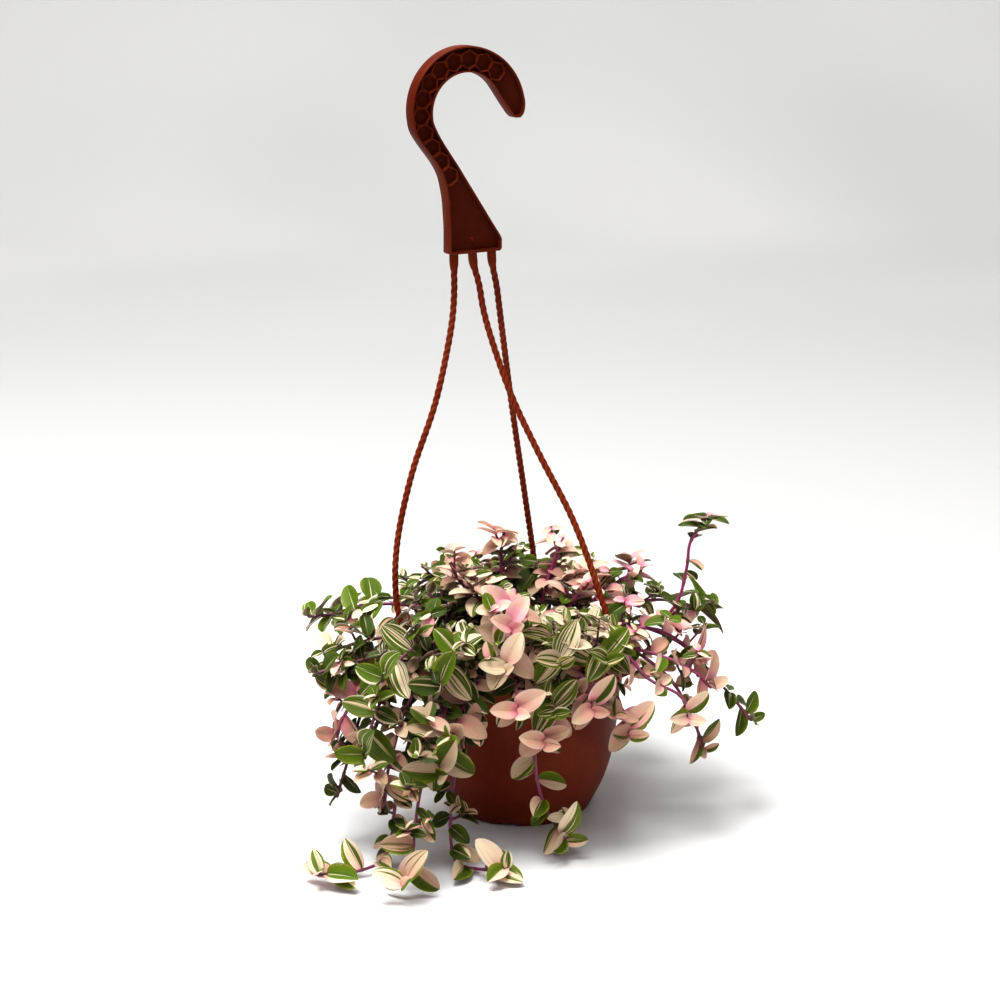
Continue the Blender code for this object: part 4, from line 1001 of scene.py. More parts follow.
def makeHook(material):
    # A closed band between the two edges, with its middle plane's points moved out by the half depth
    own = hookValues
    outer, inner, fromStart, fromEnd = hookEdges()
    width = np.linalg.norm(inner - outer, axis=1)[:, None]
    before, beyond = own["flangeEdges"]
    edge = np.array((0.0, own["chamfer"], own["flange"] - before, own["flange"] + beyond))
    middleShare = np.linspace(0, 1, own["columns"])[1:-1]
    low, high = edge[-1] / width, 1 - edge[-1] / width
    shares = np.hstack([edge / width, low + (high - low) * middleShare, 1 - edge[::-1] / width])
    x = outer[:, :1] + (inner - outer)[:, :1] * shares
    y = outer[:, 1:] + (inner - outer)[:, 1:] * shares
    inset = np.minimum(shares, 1 - shares) * width
    inset = np.minimum(inset, np.minimum(fromStart, fromEnd)[:, None])
    half, deep = hookDepth(x, y, inset)
    front = np.stack([x, y, half], axis=-1)
    back = np.stack([x, y, -half], axis=-1)[:, ::-1]
    rings = np.concatenate([front, back], axis=1)
    rows, columns = rings.shape[:2]
    faces = loopFaces(rows, columns)
    for row, flip in ((0, 1), (rows - 1, -1)):
        for k in range(columns // 2 - 1):
            cap = [row * columns + i for i in (k, columns - 1 - k, columns - 2 - k, k + 1)]
            faces.append(cap[::flip])
    # painted shade in the recesses, which the material reads as the groove attribute
    paintedShade = np.concatenate([deep, deep[:, ::-1]], axis=1).ravel()
    points = hookPoint(*rings.reshape(-1, 3).T).T
    meshPiece("hanger_hook_moulded", points, outwards(points, faces), [material],
              ["hanger_hook"], sharp=50, pointData={"groove": paintedShade})


def makeArm(name, material):
    # A twisted rod: r = R (1 - g + g |cos(n/2 (angle - 2 pi s / pitch))|^wavePower), which grows out of a
    # flat tab, and its clip at the lower end, both with superellipses for their rings
    own = armValues
    along = np.array(polar(1.0, hookValues["yaw"]))
    top = hookPoint(own["tabPlaces"][name], -gap)
    curve = armLine(name)
    line = evenSteps(np.vstack([[top], top + (curve[0] - top) * 0.5, curve]), own["step"])
    for _ in range(2):  # a running mean softens the bend below the tab, and both ends stay
        wide = np.pad(line, ((own["soften"], own["soften"]), (0, 0)), "reflect", reflect_type="odd")
        windows = np.lib.stride_tricks.sliding_window_view(wide, 2 * own["soften"] + 1, axis=0)
        line = windows.mean(axis=-1)
    first, second = framesAlong(line, along)
    s = arcLength(line)[:, None]
    angle = circle(own["around"])[None]
    fadeFrom, fadeOver = own["tabFade"]
    roundness = smoothStep((s - fadeFrom) / fadeOver)
    a, b = (tab / 2 * (1 - roundness) + own["radius"] * own["slim"] * roundness for tab in own["tab"][:2])
    radius = superellipse(angle, a, b, own["tabPower"] * (1 - roundness) + 2.0 * roundness)
    wave = np.abs(np.cos(own["lobes"] / 2 * (angle - 2 * np.pi * s / own["pitch"])))
    (startFrom, startOver), (endFrom, endOver) = own["grooveFade"], own["grooveEnd"]
    groove = own["groove"] * smoothStep((s - startFrom) / startOver)
    groove = groove * smoothStep((s[-1] - s - endFrom) / endOver)
    radius = radius * (1 - groove + groove * wave**own["wavePower"])
    rings = (line[:, None] + first[:, None] * (radius * np.cos(angle))[..., None]
             + second[:, None] * (radius * np.sin(angle))[..., None])
    rod = closedTube(rings)
    height, a, b = np.array(own["clip"]).T[:, :, None]
    radius = superellipse(angle, a, b, own["clipPower"])
    clip = closedTube(turnedAboutZ(potValues["lugRadius"] + radius * np.cos(angle), radius * np.sin(angle),
                                   height + potValues["lugTop"], potValues["lugAzimuths"][name]))
    points, faces = joined([(points, outwards(points, faces)) for points, faces in (rod, clip)])
    deep = np.zeros(len(points))
    # painted shade in the grooves, and the top of the rod is darker too
    fadeFrom, fadeOver = own["darkFade"]
    dark = (1 - wave) ** own["darkPower"] * groove / own["groove"]
    dark = dark + own["topDark"] * (1 - smoothStep((s - fadeFrom) / fadeOver))
    deep[:wave.size] = np.clip(dark, 0, 1).ravel()
    meshPiece(f"hanger_arm_{name}_twisted", points, faces, [material],
              [f"hanger_arm_{name}"], sharp=45, pointData={"groove": deep})


makeHook(hangerPlastic("hook"))
armPlastic = hangerPlastic("arm")
for armName in armValues["routes"]:
    makeArm(armName, armPlastic)
print("hanger made")


# Turtle vine: leaves and stems
leafLook = {
    "bright": (0.080, 0.150, 0.006), "dark": (0.023, 0.045, 0.002), "grey": (0.16, 0.21, 0.04),
    "cream": (0.85, 0.70, 0.46), "pink": (0.88, 0.33, 0.43), "rose": (0.60, 0.05, 0.14),
    "peach": (0.88, 0.49, 0.38), "underGreen": (0.13, 0.12, 0.065), "underPale": (0.95, 0.55, 0.55),
    "vein": (0.62, 0.30, 0.26), "roughness": (0.38, 0.6), "specular": 0.07, "bump": (0.3, 0.0002),
    # noise over the leaf's width and length: broad and fine bands of cream, ribs, clouds, green lines
    "bands": (1.1, 0.25), "fineBands": (4.4, 0.2), "ribs": (13, 0.5), "clouds": (1.5, 2.5),
    "lines": (8, 0.3), "contrast": 2.6, "lineFrom": (0.63, 0.68), "lineShare": 0.75,
    "midline": (0.055, 1.12, 0.8), "crease": (0.05, 1.1, 0.45), "edgeShare": 0.3,
    "rootShare": 0.75, "rootReach": 0.32,
    # where a colour takes over: from, to and its share
    "paleFrom": (-0.02, 0.02), "edgeFrom": (-0.16, -0.03), "brightFrom": (0.5, 1.2),
    "darkFrom": (0.5, 0.7, 0.5), "greyFrom": (0.42, 0.3, 0.22), "peachFrom": (0.05, 0.5),
    "pinkFrom": (0.45, 0.95), "ribPeach": (0.45, 0.75, 0.4),
    # how pink a pale part is: everywhere, more at the root, and by clouds
    "blush": (0.5, 0.9, 1.2),
    # each leaf's own tone: the least, and how much the leaf and its clouds add
    "tones": (0.82, 0.36), "cloudTones": (0.93, 0.14),
    "subsurface": 0.45, "subsurfaceScale": 0.0014, "subsurfaceRadius": (1.0, 0.82, 0.66),
    # how much darker the leaves under others are, and what counts as under others
    "shade": 0.58, "shadeTint": (0.0, 0.14, 0.22), "shadeReach": 13.0, "shadeHeights": (5.0, 45.0),
    "shadeCount": 9.0,
}
leafShape = {
    "rows": (0.04, 0.12, 0.24, 0.38, 0.52, 0.66, 0.79, 0.89, 0.96), "columns": 7, "thickness": 0.35,
    "width": 0.63, "spread": (0.52, 0.62, 2.19), "fold": 1.25, "ripple": (0.014, 9, 2), "curl": 0.05,
    # how much the leaves differ: lift and droop as shares of the solid's, and the sideways sway
    "liftRange": (0.75, 1.3), "droopRange": (0.6, 1.5), "sway": 0.03,
}
stemLook = {
    "fresh": (0.28, 0.018, 0.11), "old": (0.065, 0.012, 0.022), "node": (0.09, 0.05, 0.03),
    "roughness": (0.4, 0.62), "specular": 0.4, "blotches": 220.0, "blotchShare": 0.5, "grain": 1500.0,
    "bump": (0.3, 0.0001),
}
stemShape = {
    "radius": (1.25, 0.85), "node": 0.28, "nodeLength": 1.3, "around": 8, "step": 1.0,
    "shoot": (0.72, 0.5), "shootAround": 6, "ground": (72.0, 80.0), "endRound": 0.5,
    # how much fresher a stem and a side shoot are at the tip than at the root
    "fresher": 0.35, "shootFresher": 0.65,
}
# cream share, pink share, brightness, one-sidedness, how far cream falls in fine stripes, stem freshness
vineLooks = {
    "left_arm": (0.2, 0.0, 1.05, 0.0, 0.6, 0.3), "left_middle": (0.42, 0.12, 0.9, 0.3, 0.4, 0.2),
    "left_lower": (0.14, 0.02, 0.75, 0.0, 0.3, 0.2), "left_pink": (0.9, 0.8, 0.9, 0.0, 0.2, 0.5),
    "left_green_drop": (0.32, 0.0, 1.05, 0.3, 0.6, 0.3), "left_dark": (0.05, 0.0, 0.55, 0.0, 0.2, 0.0),
    "left_bright": (0.34, 0.0, 1.15, 0.2, 0.6, 0.2), "peach_low": (0.75, 0.35, 0.95, 0.4, 0.1, 0.3),
    "half_white": (0.5, 0.15, 1.15, 0.9, 0.2, 0.2), "trail_left": (0.5, 0.35, 1.0, 0.45, 0.4, 0.3),
    "trail_front_left": (0.54, 0.45, 1.05, 0.4, 0.4, 0.4), "trail_front": (0.52, 0.3, 1.0, 0.5, 0.3, 0.3),
    "trail_right": (0.52, 0.25, 1.0, 0.6, 0.4, 0.5),
    "pink_centre": (1.0, 0.95, 1.1, 0.0, 0.1, 0.8), "cream_centre": (0.93, 0.25, 1.15, 0.3, 0.0, 0.4),
    "striped_centre": (0.45, 0.0, 1.15, 0.1, 1.0, 0.2), "striped_right": (0.48, 0.0, 1.2, 0.1, 1.0, 0.2),
    "striped_middle": (0.4, 0.0, 1.0, 0.1, 1.0, 0.2), "peach_middle": (0.97, 0.55, 0.85, 0.0, 0.1, 0.5),
    "peach_right": (0.97, 0.5, 0.9, 0.0, 0.1, 0.6), "pink_drop": (0.97, 0.6, 0.9, 0.0, 0.1, 0.8),
    "peach_left": (0.95, 0.5, 0.9, 0.0, 0.1, 0.4), "green_left": (0.34, 0.0, 1.05, 0.1, 0.7, 0.2),
    "green_middle_left": (0.38, 0.0, 1.0, 0.1, 0.8, 0.2), "right_low": (0.7, 0.3, 1.0, 0.7, 0.2, 0.5),
    "upright": (0.35, 0.35, 0.7, 0.5, 0.2, 0.9), "right_pink_top": (0.95, 0.75, 1.05, 0.0, 0.1, 0.9),
    "right_cream_upper": (0.85, 0.6, 1.05, 0.3, 0.2, 0.8),
    "right_cream_lower": (0.75, 0.35, 1.1, 0.6, 0.3, 0.7),
    "right_far": (0.08, 0.0, 0.6, 0.0, 0.2, 0.4), "right_drop_upper": (0.7, 0.15, 0.95, 0.7, 0.2, 0.4),
    "right_drop_lower": (0.5, 0.15, 0.95, 0.8, 0.3, 0.3),
}
# the side shoots' own colours: how many have them, and where they are greener or pinker
mixLook = {
    "share": 0.6, "from": 10.0, "over": 60.0, "back": 0.9, "near": 45.0,
    "cream": ((0.0, 0.45, 0.75, 1.0), (0.08, 0.4, 0.8, 1.05)), "pink": (0.0, 0.2, 0.45, 0.75),
    "pinkAbove": 0.4, "pinker": 0.35, "pinkFrom": 25.0, "pinkOver": 40.0,
    # how far leaves of one stem differ, and how much darker and less striped the small ones are
    "noise": {"cream": 0.1, "pink": 0.1, "bright": 0.12, "side": 0.15, "stripe": 0.15},
    "creamMost": 1.05, "brightRange": (0.3, 1.4), "sideMost": 0.95,
    "smallDark": 0.25, "smallPlain": 0.55, "seed": 5,
}
colourLooks = {
    "leaf_green": (0.22, 0.03, 0.95, 0.3, 0.6, 0.3), "leaf_cream": (0.6, 0.15, 1.0, 0.5, 0.4, 0.4),
    "leaf_pink": (0.93, 0.6, 1.0, 0.1, 0.1, 0.9),
}


def leafMaterial():
    # Pale where signal < cream and green elsewhere: signal = band (1 - stripe) + fine stripe, blended
    # towards a slope across the leaf by its one-sidedness. s runs across from -1 to 1, v from root to tip.
    look = leafLook
    shader = Shader("leaf_blades", look["bright"])
    uv = shader.add("UVMap", {"uv_map": "UVMap"})
    across = shader.add("SeparateXYZ", {}, {"Vector": uv}, output="X")
    v = shader.add("SeparateXYZ", {}, {"Vector": uv}, output="Y")
    s = (across - 0.5) * 2
    seed = shader.attribute("seed")
    cream, pink = shader.attribute("cream"), shader.attribute("pink")
    under = shader.attribute("under")
    side, stripe = shader.attribute("side"), shader.attribute("stripe")

    def streaks(name, seedShift, detail):
        # Noise that runs from the leaf's root to its tip: many waves over s and few over v
        a, b = look[name]
        return shader.noise(shader.combine(s * a, v * b, seed + seedShift), 1.0, detail)

    band, fine = ((streaks(name, shift, detail) - 0.5) * look["contrast"] + 0.5
                  for name, shift, detail in (("bands", 0, 1.0), ("fineBands", 31, 2.0)))
    signal = band * (1 - stripe) + fine * stripe
    signal = signal * (1 - side.size()) + (s * side * 0.5 / (side.size() + 0.001) + 0.5) * side.size()
    pale = shader.step(cream - signal, *look["paleFrom"])
    edge = shader.step(cream - signal, *look["edgeFrom"]) * (1 - pale)
    width, reach, strength = look["midline"]
    midline = shader.step(width * (reach - v) - s.size(), 0.0, 0.02) * (1 - pale) * strength
    ribs, cloud = streaks("ribs", 0, 2.0), streaks("clouds", 7, 2.0)
    green = shader.tinted(look["dark"], look["bright"], shader.attribute("bright"), *look["brightFrom"])
    green = shader.mix(edge * look["edgeShare"], green, look["grey"])
    green = shader.tinted(green, look["dark"], ribs, *look["darkFrom"])
    green = shader.tinted(green, look["grey"], ribs, *look["greyFrom"])
    even, atRoot, cloudy = look["blush"]
    blush = (pink * (even + atRoot * (1 - v) ** 2 + (cloud - 0.5) * cloudy)).clamped()
    paleColour = shader.tinted(look["cream"], look["peach"], blush, *look["peachFrom"])
    paleColour = shader.tinted(paleColour, look["pink"], blush, *look["pinkFrom"])
    root = shader.step(v, look["rootReach"], 0.0) * pink
    paleColour = shader.mix(root * look["rootShare"], paleColour, look["rose"])
    paleColour = shader.tinted(paleColour, look["peach"], ribs, *look["ribPeach"])
    width, reach, strength = look["crease"]
    crease = shader.step(width * (reach - v) - s.size(), -0.01, 0.02)
    paleColour = shader.mix(crease * strength, paleColour, look["vein"])
    # a few thin green lines run along the pale parts
    line = shader.step(streaks("lines", 53, 1.0), *look["lineFrom"]) * (1.05 - pink).clamped()
    paleColour = shader.mix(line * look["lineShare"], paleColour, look["grey"])
    top = shader.mix(pale, green, paleColour)
    top = shader.mix(midline, top, look["cream"])
    below = shader.mix(pale, look["underGreen"], shader.mix(0.5, paleColour, look["underPale"]))
    colour = shader.mix(under, top, below)
    (least, more), (cloudLeast, cloudMore) = look["tones"], look["cloudTones"]
    tone = least + more * shader.noise(shader.combine(seed, 3.0, 5.0), 0.73, 0.0)
    tone = tone * (cloudLeast + cloudMore * cloud) * (1 - shader.attribute("shade") * look["shade"])
    # the light under leaves is warmer
    tint = [tone * (1 - shader.attribute("shade") * part) for part in look["shadeTint"]]
    colour = shader.add("VectorMath", {"operation": "MULTIPLY"}, {0: colour, 1: shader.combine(*tint)})
    return shader.surface(look, colour, cloud, ribs + midline * -0.6)


def stemMaterial():
    # From old to fresh with the attribute and a blotchy noise, browner at the nodes
    look = stemLook
    shader = Shader("leaf_stems", look["fresh"])
    place = shader.place()
    fresh = shader.attribute("fresh")
    blotch = shader.noise(place, look["blotches"], 2.0)
    fine = shader.noise(place, look["grain"], 2.0)
    ripe = (fresh + (blotch - 0.5) * look["blotchShare"]).clamped()
    colour = shader.mix(ripe, look["old"], look["fresh"])
    colour = shader.mix(shader.attribute("node") * 0.5, colour, look["node"])
    return shader.surface(look, colour, fine, fine)


def leafMesh(leaves, draw):
    # Closed blades, all at once: half width = length * width/2 * 2.19 * v^0.52 * (1-v)^0.62, and height =
    # length * (lift * |u|^fold * sqrt(1-v) * v/(v+0.03) - droop * v^2
    #           + ripple * sin(9v + phase + 2u) * |u| - curl * v^6)
    shape, own = stemValues, leafShape
    base, along, normal = (np.array([leaf[k] for leaf in leaves]) for k in range(3))
    length = np.array([leaf[3] for leaf in leaves])[:, None, None]
    side = np.cross(normal, along)
    count, columns = len(leaves), own["columns"]
    u = np.linspace(-1, 1, columns)[None, None, :]
    v = np.array(own["rows"])[None, :, None]
    (rise, fall, most), (ripple, waves, slant) = own["spread"], own["ripple"]
    half = length * own["width"] / 2 * most * v**rise * (1 - v)**fall
    lift = draw.uniform(*own["liftRange"], (count, 1, 1)) * shape["bladeLift"]
    droop = draw.uniform(*own["droopRange"], (count, 1, 1)) * shape["bladeDroop"]
    phase = draw.uniform(0, 6.28, (count, 1, 1))
    height = length * (lift * np.abs(u)**own["fold"] * np.sqrt(1 - v) * v / (v + 0.03) - droop * v**2
                       + ripple * np.sin(waves * v + phase + slant * u) * np.abs(u) - own["curl"] * v**6)
    sway = length * draw.normal(0, own["sway"], (count, 1, 1)) * v**2
    middle = (base[:, None, None] + along[:, None, None] * (length * v)[..., None]
              + side[:, None, None] * (u * half + sway)[..., None]
              + normal[:, None, None] * height[..., None])
    thick = own["thickness"] / 2 * np.sqrt(np.clip(1 - u**2, 0, 1))
    offset = normal[:, None, None] * np.broadcast_to(thick, height.shape)[..., None]
    tipHeight = length[:, 0] * (-droop[:, 0] - own["curl"])
    tip = base + along * length[:, 0] + normal * tipHeight + side * sway[:, -1]
    rows = len(own["rows"])
    upper = (middle + offset).reshape(count, -1, 3)
    lower = (middle - offset)[:, :, 1:-1].reshape(count, -1, 3)
    points = np.concatenate([base[:, None], tip[:, None], upper, lower], axis=1)
    up = 2 + np.arange(rows * columns).reshape(rows, columns)
    low = up.copy()
    low[:, 1:-1] = 2 + rows * columns + np.arange(rows * (columns - 2)).reshape(rows, columns - 2)
    uRow = np.linspace(0, 1, columns)
    vAt = np.concatenate([[0.0, 1.0], np.repeat(own["rows"], columns),
                          np.repeat(own["rows"], columns - 2)])
    uAt = np.concatenate([[0.5, 0.5], np.tile(uRow, rows), np.tile(uRow[1:-1], rows)])
    faces, below = [], []
    for grid, flip in ((up, 1), (low, -1)):
        quads = [(grid[r, c], grid[r + 1, c], grid[r + 1, c + 1], grid[r, c + 1])
                 for r in range(rows - 1) for c in range(columns - 1)]
        fans = [(0, grid[0, c], grid[0, c + 1]) for c in range(columns - 1)]
        fans += [(grid[-1, c], 1, grid[-1, c + 1]) for c in range(columns - 1)]
        faces += [tuple(int(i) for i in face)[::flip] for face in quads + fans]
        below += [float(flip < 0)] * (len(quads) + len(fans))
    flat = np.array([i for face in faces for i in face])
    uv = np.column_stack([uAt[flat], vAt[flat]])
    perLeaf = points.shape[1]
    allFaces = [tuple(i + k * perLeaf for i in face) for k in range(count) for face in faces]
    return points.reshape(-1, 3), allFaces, np.tile(uv, (count, 1)), below * count, perLeaf


def stemMesh(line, low, high, nodes, around):
    # A tube with a swelling at each leaf: r = r(s) * (1 + a * exp(-((s - node) / w)^2))
    away = line[-1] - line[0]
    helper = np.cross(away, (0.0, 0.0, 1.0))
    if np.linalg.norm(helper) < 0.2 * np.linalg.norm(away):
        helper = np.cross(away, (1.0, 0.0, 0.0))
    first, second = framesAlong(line, unit(helper))
    s = arcLength(line)
    swelling = np.zeros(len(s))
    for node in nodes:
        swelling = np.maximum(swelling, np.exp(-(((s[-1] - s) - node) / stemShape["nodeLength"]) ** 2))
    radius = (low + (high - low) * s / s[-1]) * (1 + stemShape["node"] * swelling)
    radius[-1] *= stemShape["endRound"]
    angle = circle(around)
    rings = line[:, None] + radius[:, None, None] * (first[:, None] * np.cos(angle)[:, None]
                                                     + second[:, None] * np.sin(angle)[:, None])
    points, faces = closedTube(rings)
    along = np.append(np.repeat(s / s[-1], around), (0.0, 1.0))
    return points, outwards(points, faces), along, np.append(np.repeat(swelling, around), (0.0, 0.0))


def shadeOf(leaves):
    # How many leaves stand above each one, nearer to its axis than the reach, from 0 to 1
    low, high = leafLook["shadeHeights"]
    middles = np.array([leaf[0] + leaf[1] * leaf[3] / 2 for leaf in leaves])
    x, y, z = (middles[:, k][None, :] - middles[:, k][:, None] for k in range(3))
    above = (np.hypot(x, y) < leafLook["shadeReach"]) & (z > low) & (z < high)
    return np.clip(above.sum(axis=1) / leafLook["shadeCount"], 0, 1)


def leafColours(leaves, large, look, draw):
    # Cream, pink, brightness, one-sidedness, stripes and seed of each leaf; the first ones are large
    count, noise = len(leaves), mixLook["noise"]
    small = np.clip(np.arange(count) - large, 0, 1)
    cream = np.clip(look[0] + draw.normal(0, noise["cream"], count), 0, mixLook["creamMost"])
    # side shoots show other leaf colours, mostly green to the left and the back, paler in the middle
    mixed = (small > 0) & (draw.random(count) < mixLook["share"])
    x, y, _ = np.array([leaf[0] for leaf in leaves]).T
    left = smoothStep((mixLook["from"] - x) / mixLook["over"])
    greener = np.maximum(left, mixLook["back"] * smoothStep((y + mixLook["near"]) / mixLook["near"]))
    rank = draw.random(count) ** (1 + greener)
    cream = np.where(mixed, np.interp(rank, *mixLook["cream"]), cream)
    pink = np.clip(look[1] + draw.normal(0, noise["pink"], count), 0, 1)
    paleEnough = cream > mixLook["pinkAbove"]
    pink = np.where(mixed, draw.choice(mixLook["pink"], count) * paleEnough, pink)
    pinker = mixLook["pinker"] * smoothStep((x - mixLook["pinkFrom"]) / mixLook["pinkOver"])
    pink = pink + pinker * paleEnough
    bright = look[2] + draw.normal(0, noise["bright"], count) - mixLook["smallDark"] * small
    side = np.clip(look[3] + draw.normal(0, noise["side"], count), 0, mixLook["sideMost"])
    side = side * draw.choice((-1, 1), count)
    stripe = look[4] * (1 - mixLook["smallPlain"] * small) + draw.normal(0, noise["stripe"], count)
    return {"cream": cream, "pink": pink, "bright": np.clip(bright, *mixLook["brightRange"]), "side": side,
            "stripe": np.clip(stripe, 0, 1), "seed": draw.uniform(0, 500, count)}


def makeVine(number, shade, leafSurface, stemSurface):
    # One piece for a stem: its leaves, its own tube and the tubes of its side shoots
    name, colour, _, count, _ = wantedVines[number]
    route = stemRoutes[number]
    shoots, smallLeaves = sideGrowth[number]
    leaves = largeLeaves[number] + smallLeaves
    look = np.array(vineLooks.get(name, colourLooks[colour]))
    draw = np.random.default_rng((stemValues["seed"], number, mixLook["seed"]))
    leafPoints, leafFaces, uv, below, perLeaf = leafMesh(leaves, draw)
    perLeafData = {**leafColours(leaves, len(largeLeaves[number]), look, draw), "shade": shade}
    own = stemShape
    ground = [(*route[0][:2], z) for z in (potValues["holeBottom"] + gap, *own["ground"])]
    line = evenSteps(np.vstack([ground, route]), own["step"])
    tubes = [(line, *own["radius"], leafPlaces(count), own["around"], own["fresher"])]
    tubes += [(shoot, *own["shoot"], shootValues["places"], own["shootAround"], own["shootFresher"])
              for shoot in shoots]
    shapes = [(leafPoints, leafFaces)]
    fresh, node = [np.zeros(len(leafPoints))], [np.zeros(len(leafPoints))]
    for tubeLine, low, high, marks, around, fresher in tubes:
        points, faces, along, swelling = stemMesh(tubeLine, low, high, marks, around)
        shapes.append((points, faces))
        fresh.append(np.clip(look[5] + (along - 0.5) * fresher, 0, 1))
        node.append(swelling)
    points, faces = joined(shapes)
    noStem = np.zeros(len(points) - len(leafPoints))
    data = {label: np.concatenate([np.repeat(values, perLeaf), noStem])
            for label, values in perLeafData.items()}
    data["fresh"] = np.concatenate(fresh)
    data["node"] = np.concatenate(node)
    corners = sum(len(face) for face in faces)
    uv = np.vstack([uv, np.zeros((corners - len(uv), 2))])
    isStem = np.arange(len(faces)) >= len(leafFaces)
    meshPiece(f"stem_{name}", points, faces, [leafSurface, stemSurface], [f"vine_{name}"], sharp=60,
              faceMaterials=isStem, pointData=data, uv=uv,
              faceData={"under": below + [0.0] * (len(faces) - len(leafFaces))})


leafSurface, stemSurface = leafMaterial(), stemMaterial()
vineLeaves = [large + small for large, (_, small) in zip(largeLeaves, sideGrowth)]
vineEnds = np.cumsum([len(leaves) for leaves in vineLeaves])[:-1]
leafShades = np.split(shadeOf(sum(vineLeaves, [])), vineEnds)
for vineNumber in range(len(wantedVines)):
    makeVine(vineNumber, leafShades[vineNumber], leafSurface, stemSurface)
print("turtle vine made")


# Pot and soil
potLook = {
    "colour": (0.098, 0.0092, 0.0022), "light": (0.15, 0.02, 0.0065), "dark": (0.06, 0.006, 0.0015),
    "dust": (0.2, 0.075, 0.04), "roughness": (0.45, 0.62), "specular": 0.05,
    "patches": 22.0, "pebble": 420.0, "speck": 1400.0,
    "lightFrom": (0.35, 0.68), "darkFrom": (0.5, 0.75, 0.3), "dustFrom": (0.68, 0.8, 0.25),
    "bump": (0.22, 0.0001), "fillet": 0.9, "floorFillet": 2.5, "baseFillet": 1.2, "baseFlare": (1.5, 2.0),
}
soilLook = {
    "dark": (0.018, 0.011, 0.007), "brown": (0.062, 0.036, 0.02), "crumb": (0.13, 0.085, 0.05),
    "roughness": (0.85, 0.95), "specular": 0.25, "bump": (0.8, 0.0008),
    "crumbScale": 420.0, "fibreScale": 900.0, "patches": 90.0,
    # height, number and fineness of the waves that make lumps and crumbs
    "waves": ((1.1, 14, 0.35), (0.45, 26, 1.6)), "grains": 0.12, "sunk": 0.4, "edge": 1.5,
    "around": 160, "rings": 46, "brownFrom": (0.35, 0.65), "crumbFrom": (0.55, 0.75, 0.5),
}


def potMaterial():
    # Lighter in broad patches, darker in the pebbled grain, with specks of dust
    look = potLook
    shader = Shader("pot_plastic", look["colour"])
    place = shader.place()
    broad = shader.noise(place, look["patches"], 3.0)
    pebble = shader.noise(place, look["pebble"], 2.0)
    speck = shader.noise(place, look["speck"], 1.0)
    colour = shader.tinted(look["colour"], look["light"], broad, *look["lightFrom"])
    colour = shader.tinted(colour, look["dark"], pebble, *look["darkFrom"])
    colour = shader.tinted(colour, look["dust"], speck, *look["dustFrom"])
    return shader.surface(look, colour, broad, pebble + speck * 0.4)


def soilMaterial():
    # Dark to brown with the fibres' noise, pale crumbs with the broad one
    look = soilLook
    shader = Shader("potting_soil", look["brown"])
    place = shader.place()
    crumb = shader.add("TexVoronoi", {"feature": "F1"}, {"Vector": place, "Scale": look["crumbScale"]})
    fibre = shader.noise(place, look["fibreScale"], 4.0, 0.7)
    broad = shader.noise(place, look["patches"], 3.0)
    colour = shader.tinted(look["dark"], look["brown"], fibre, *look["brownFrom"])
    colour = shader.tinted(colour, look["crumb"], broad, *look["crumbFrom"])
    return shader.surface(look, colour, fibre, fibre - crumb * 1.2)


def rounded(corners, radius, steps=4):
    # Each corner B of a path becomes (1-t)^2 A' + 2t(1-t) B + t^2 C', A' and C' a fillet's reach away
    corners = np.asarray(corners, float)
    t = np.linspace(0, 1, steps)[:, None]
    path = [corners[:1]]
    for before, corner, after in zip(corners, corners[1:], corners[2:]):
        back, ahead = before - corner, after - corner
        start = corner + back * min(radius / np.linalg.norm(back), 0.45)
        end = corner + ahead * min(radius / np.linalg.norm(ahead), 0.45)
        path.append((1 - t)**2 * start + 2 * t * (1 - t) * corner + t**2 * end)
    return np.vstack(path + [corners[-1:]])


def turnedRings(profile, around):
    # (r, z) turned about Z: (r cos a, r sin a, z)
    r, angle = profile[:, :1], circle(around)
    z = np.broadcast_to(profile[:, 1:], (len(profile), around))
    return np.stack([r * np.cos(angle), r * np.sin(angle), z], axis=-1)


def revolved(profile, around):
    # The profile's ends lie on the axis
    points, faces = closedTube(turnedRings(profile[1:-1], around))
    points[-2:] = [(0, 0, profile[0, 1]), (0, 0, profile[-1, 1])]
    return points, outwards(points, faces)


def lugPlate(azimuth):
    # A plate with a slot: loops between an outer and an inner superellipse
    pot = potValues
    angle = circle(pot["lugAround"])

    def outline(a, b, power):
        r = superellipse(angle, a, b, power)
        return np.column_stack([pot["lugRadius"] + r * np.cos(angle), r * np.sin(angle)])

    outward = pot["lugOuter"] - pot["lugRadius"]
    inward = pot["lugRadius"] - pot["rimRadius"] + pot["lugSunk"]
    reach = np.where(np.cos(angle) > 0, outward, inward)
    outer = outline(reach, pot["lugHalfWidth"], 7)
    slot = outline(pot["slotDepth"] / 2, pot["slotWidth"] / 2, 9)
    low, high, edge = pot["lugTop"] - pot["lugThickness"], pot["lugTop"], pot["lugEdge"]
    middle = np.array((pot["lugRadius"], 0.0))
    inset = outer + (middle - outer) * (edge / np.linalg.norm(outer - middle, axis=1))[:, None]
    loops = [(inset, low), (outer, low + edge), (outer, high - edge), (inset, high), (slot, high),
             (slot, low)]
    rings = np.array([np.column_stack([flat, np.full(len(flat), z)]) for flat, z in loops])
    faces = loopFaces(len(loops) + 1, len(angle))
    total = len(loops) * len(angle)
    faces = [tuple(i % total for i in face) for face in faces]
    points = turnedAboutZ(*rings.reshape(-1, 3).T, azimuth)
    return points, outwards(points, faces)


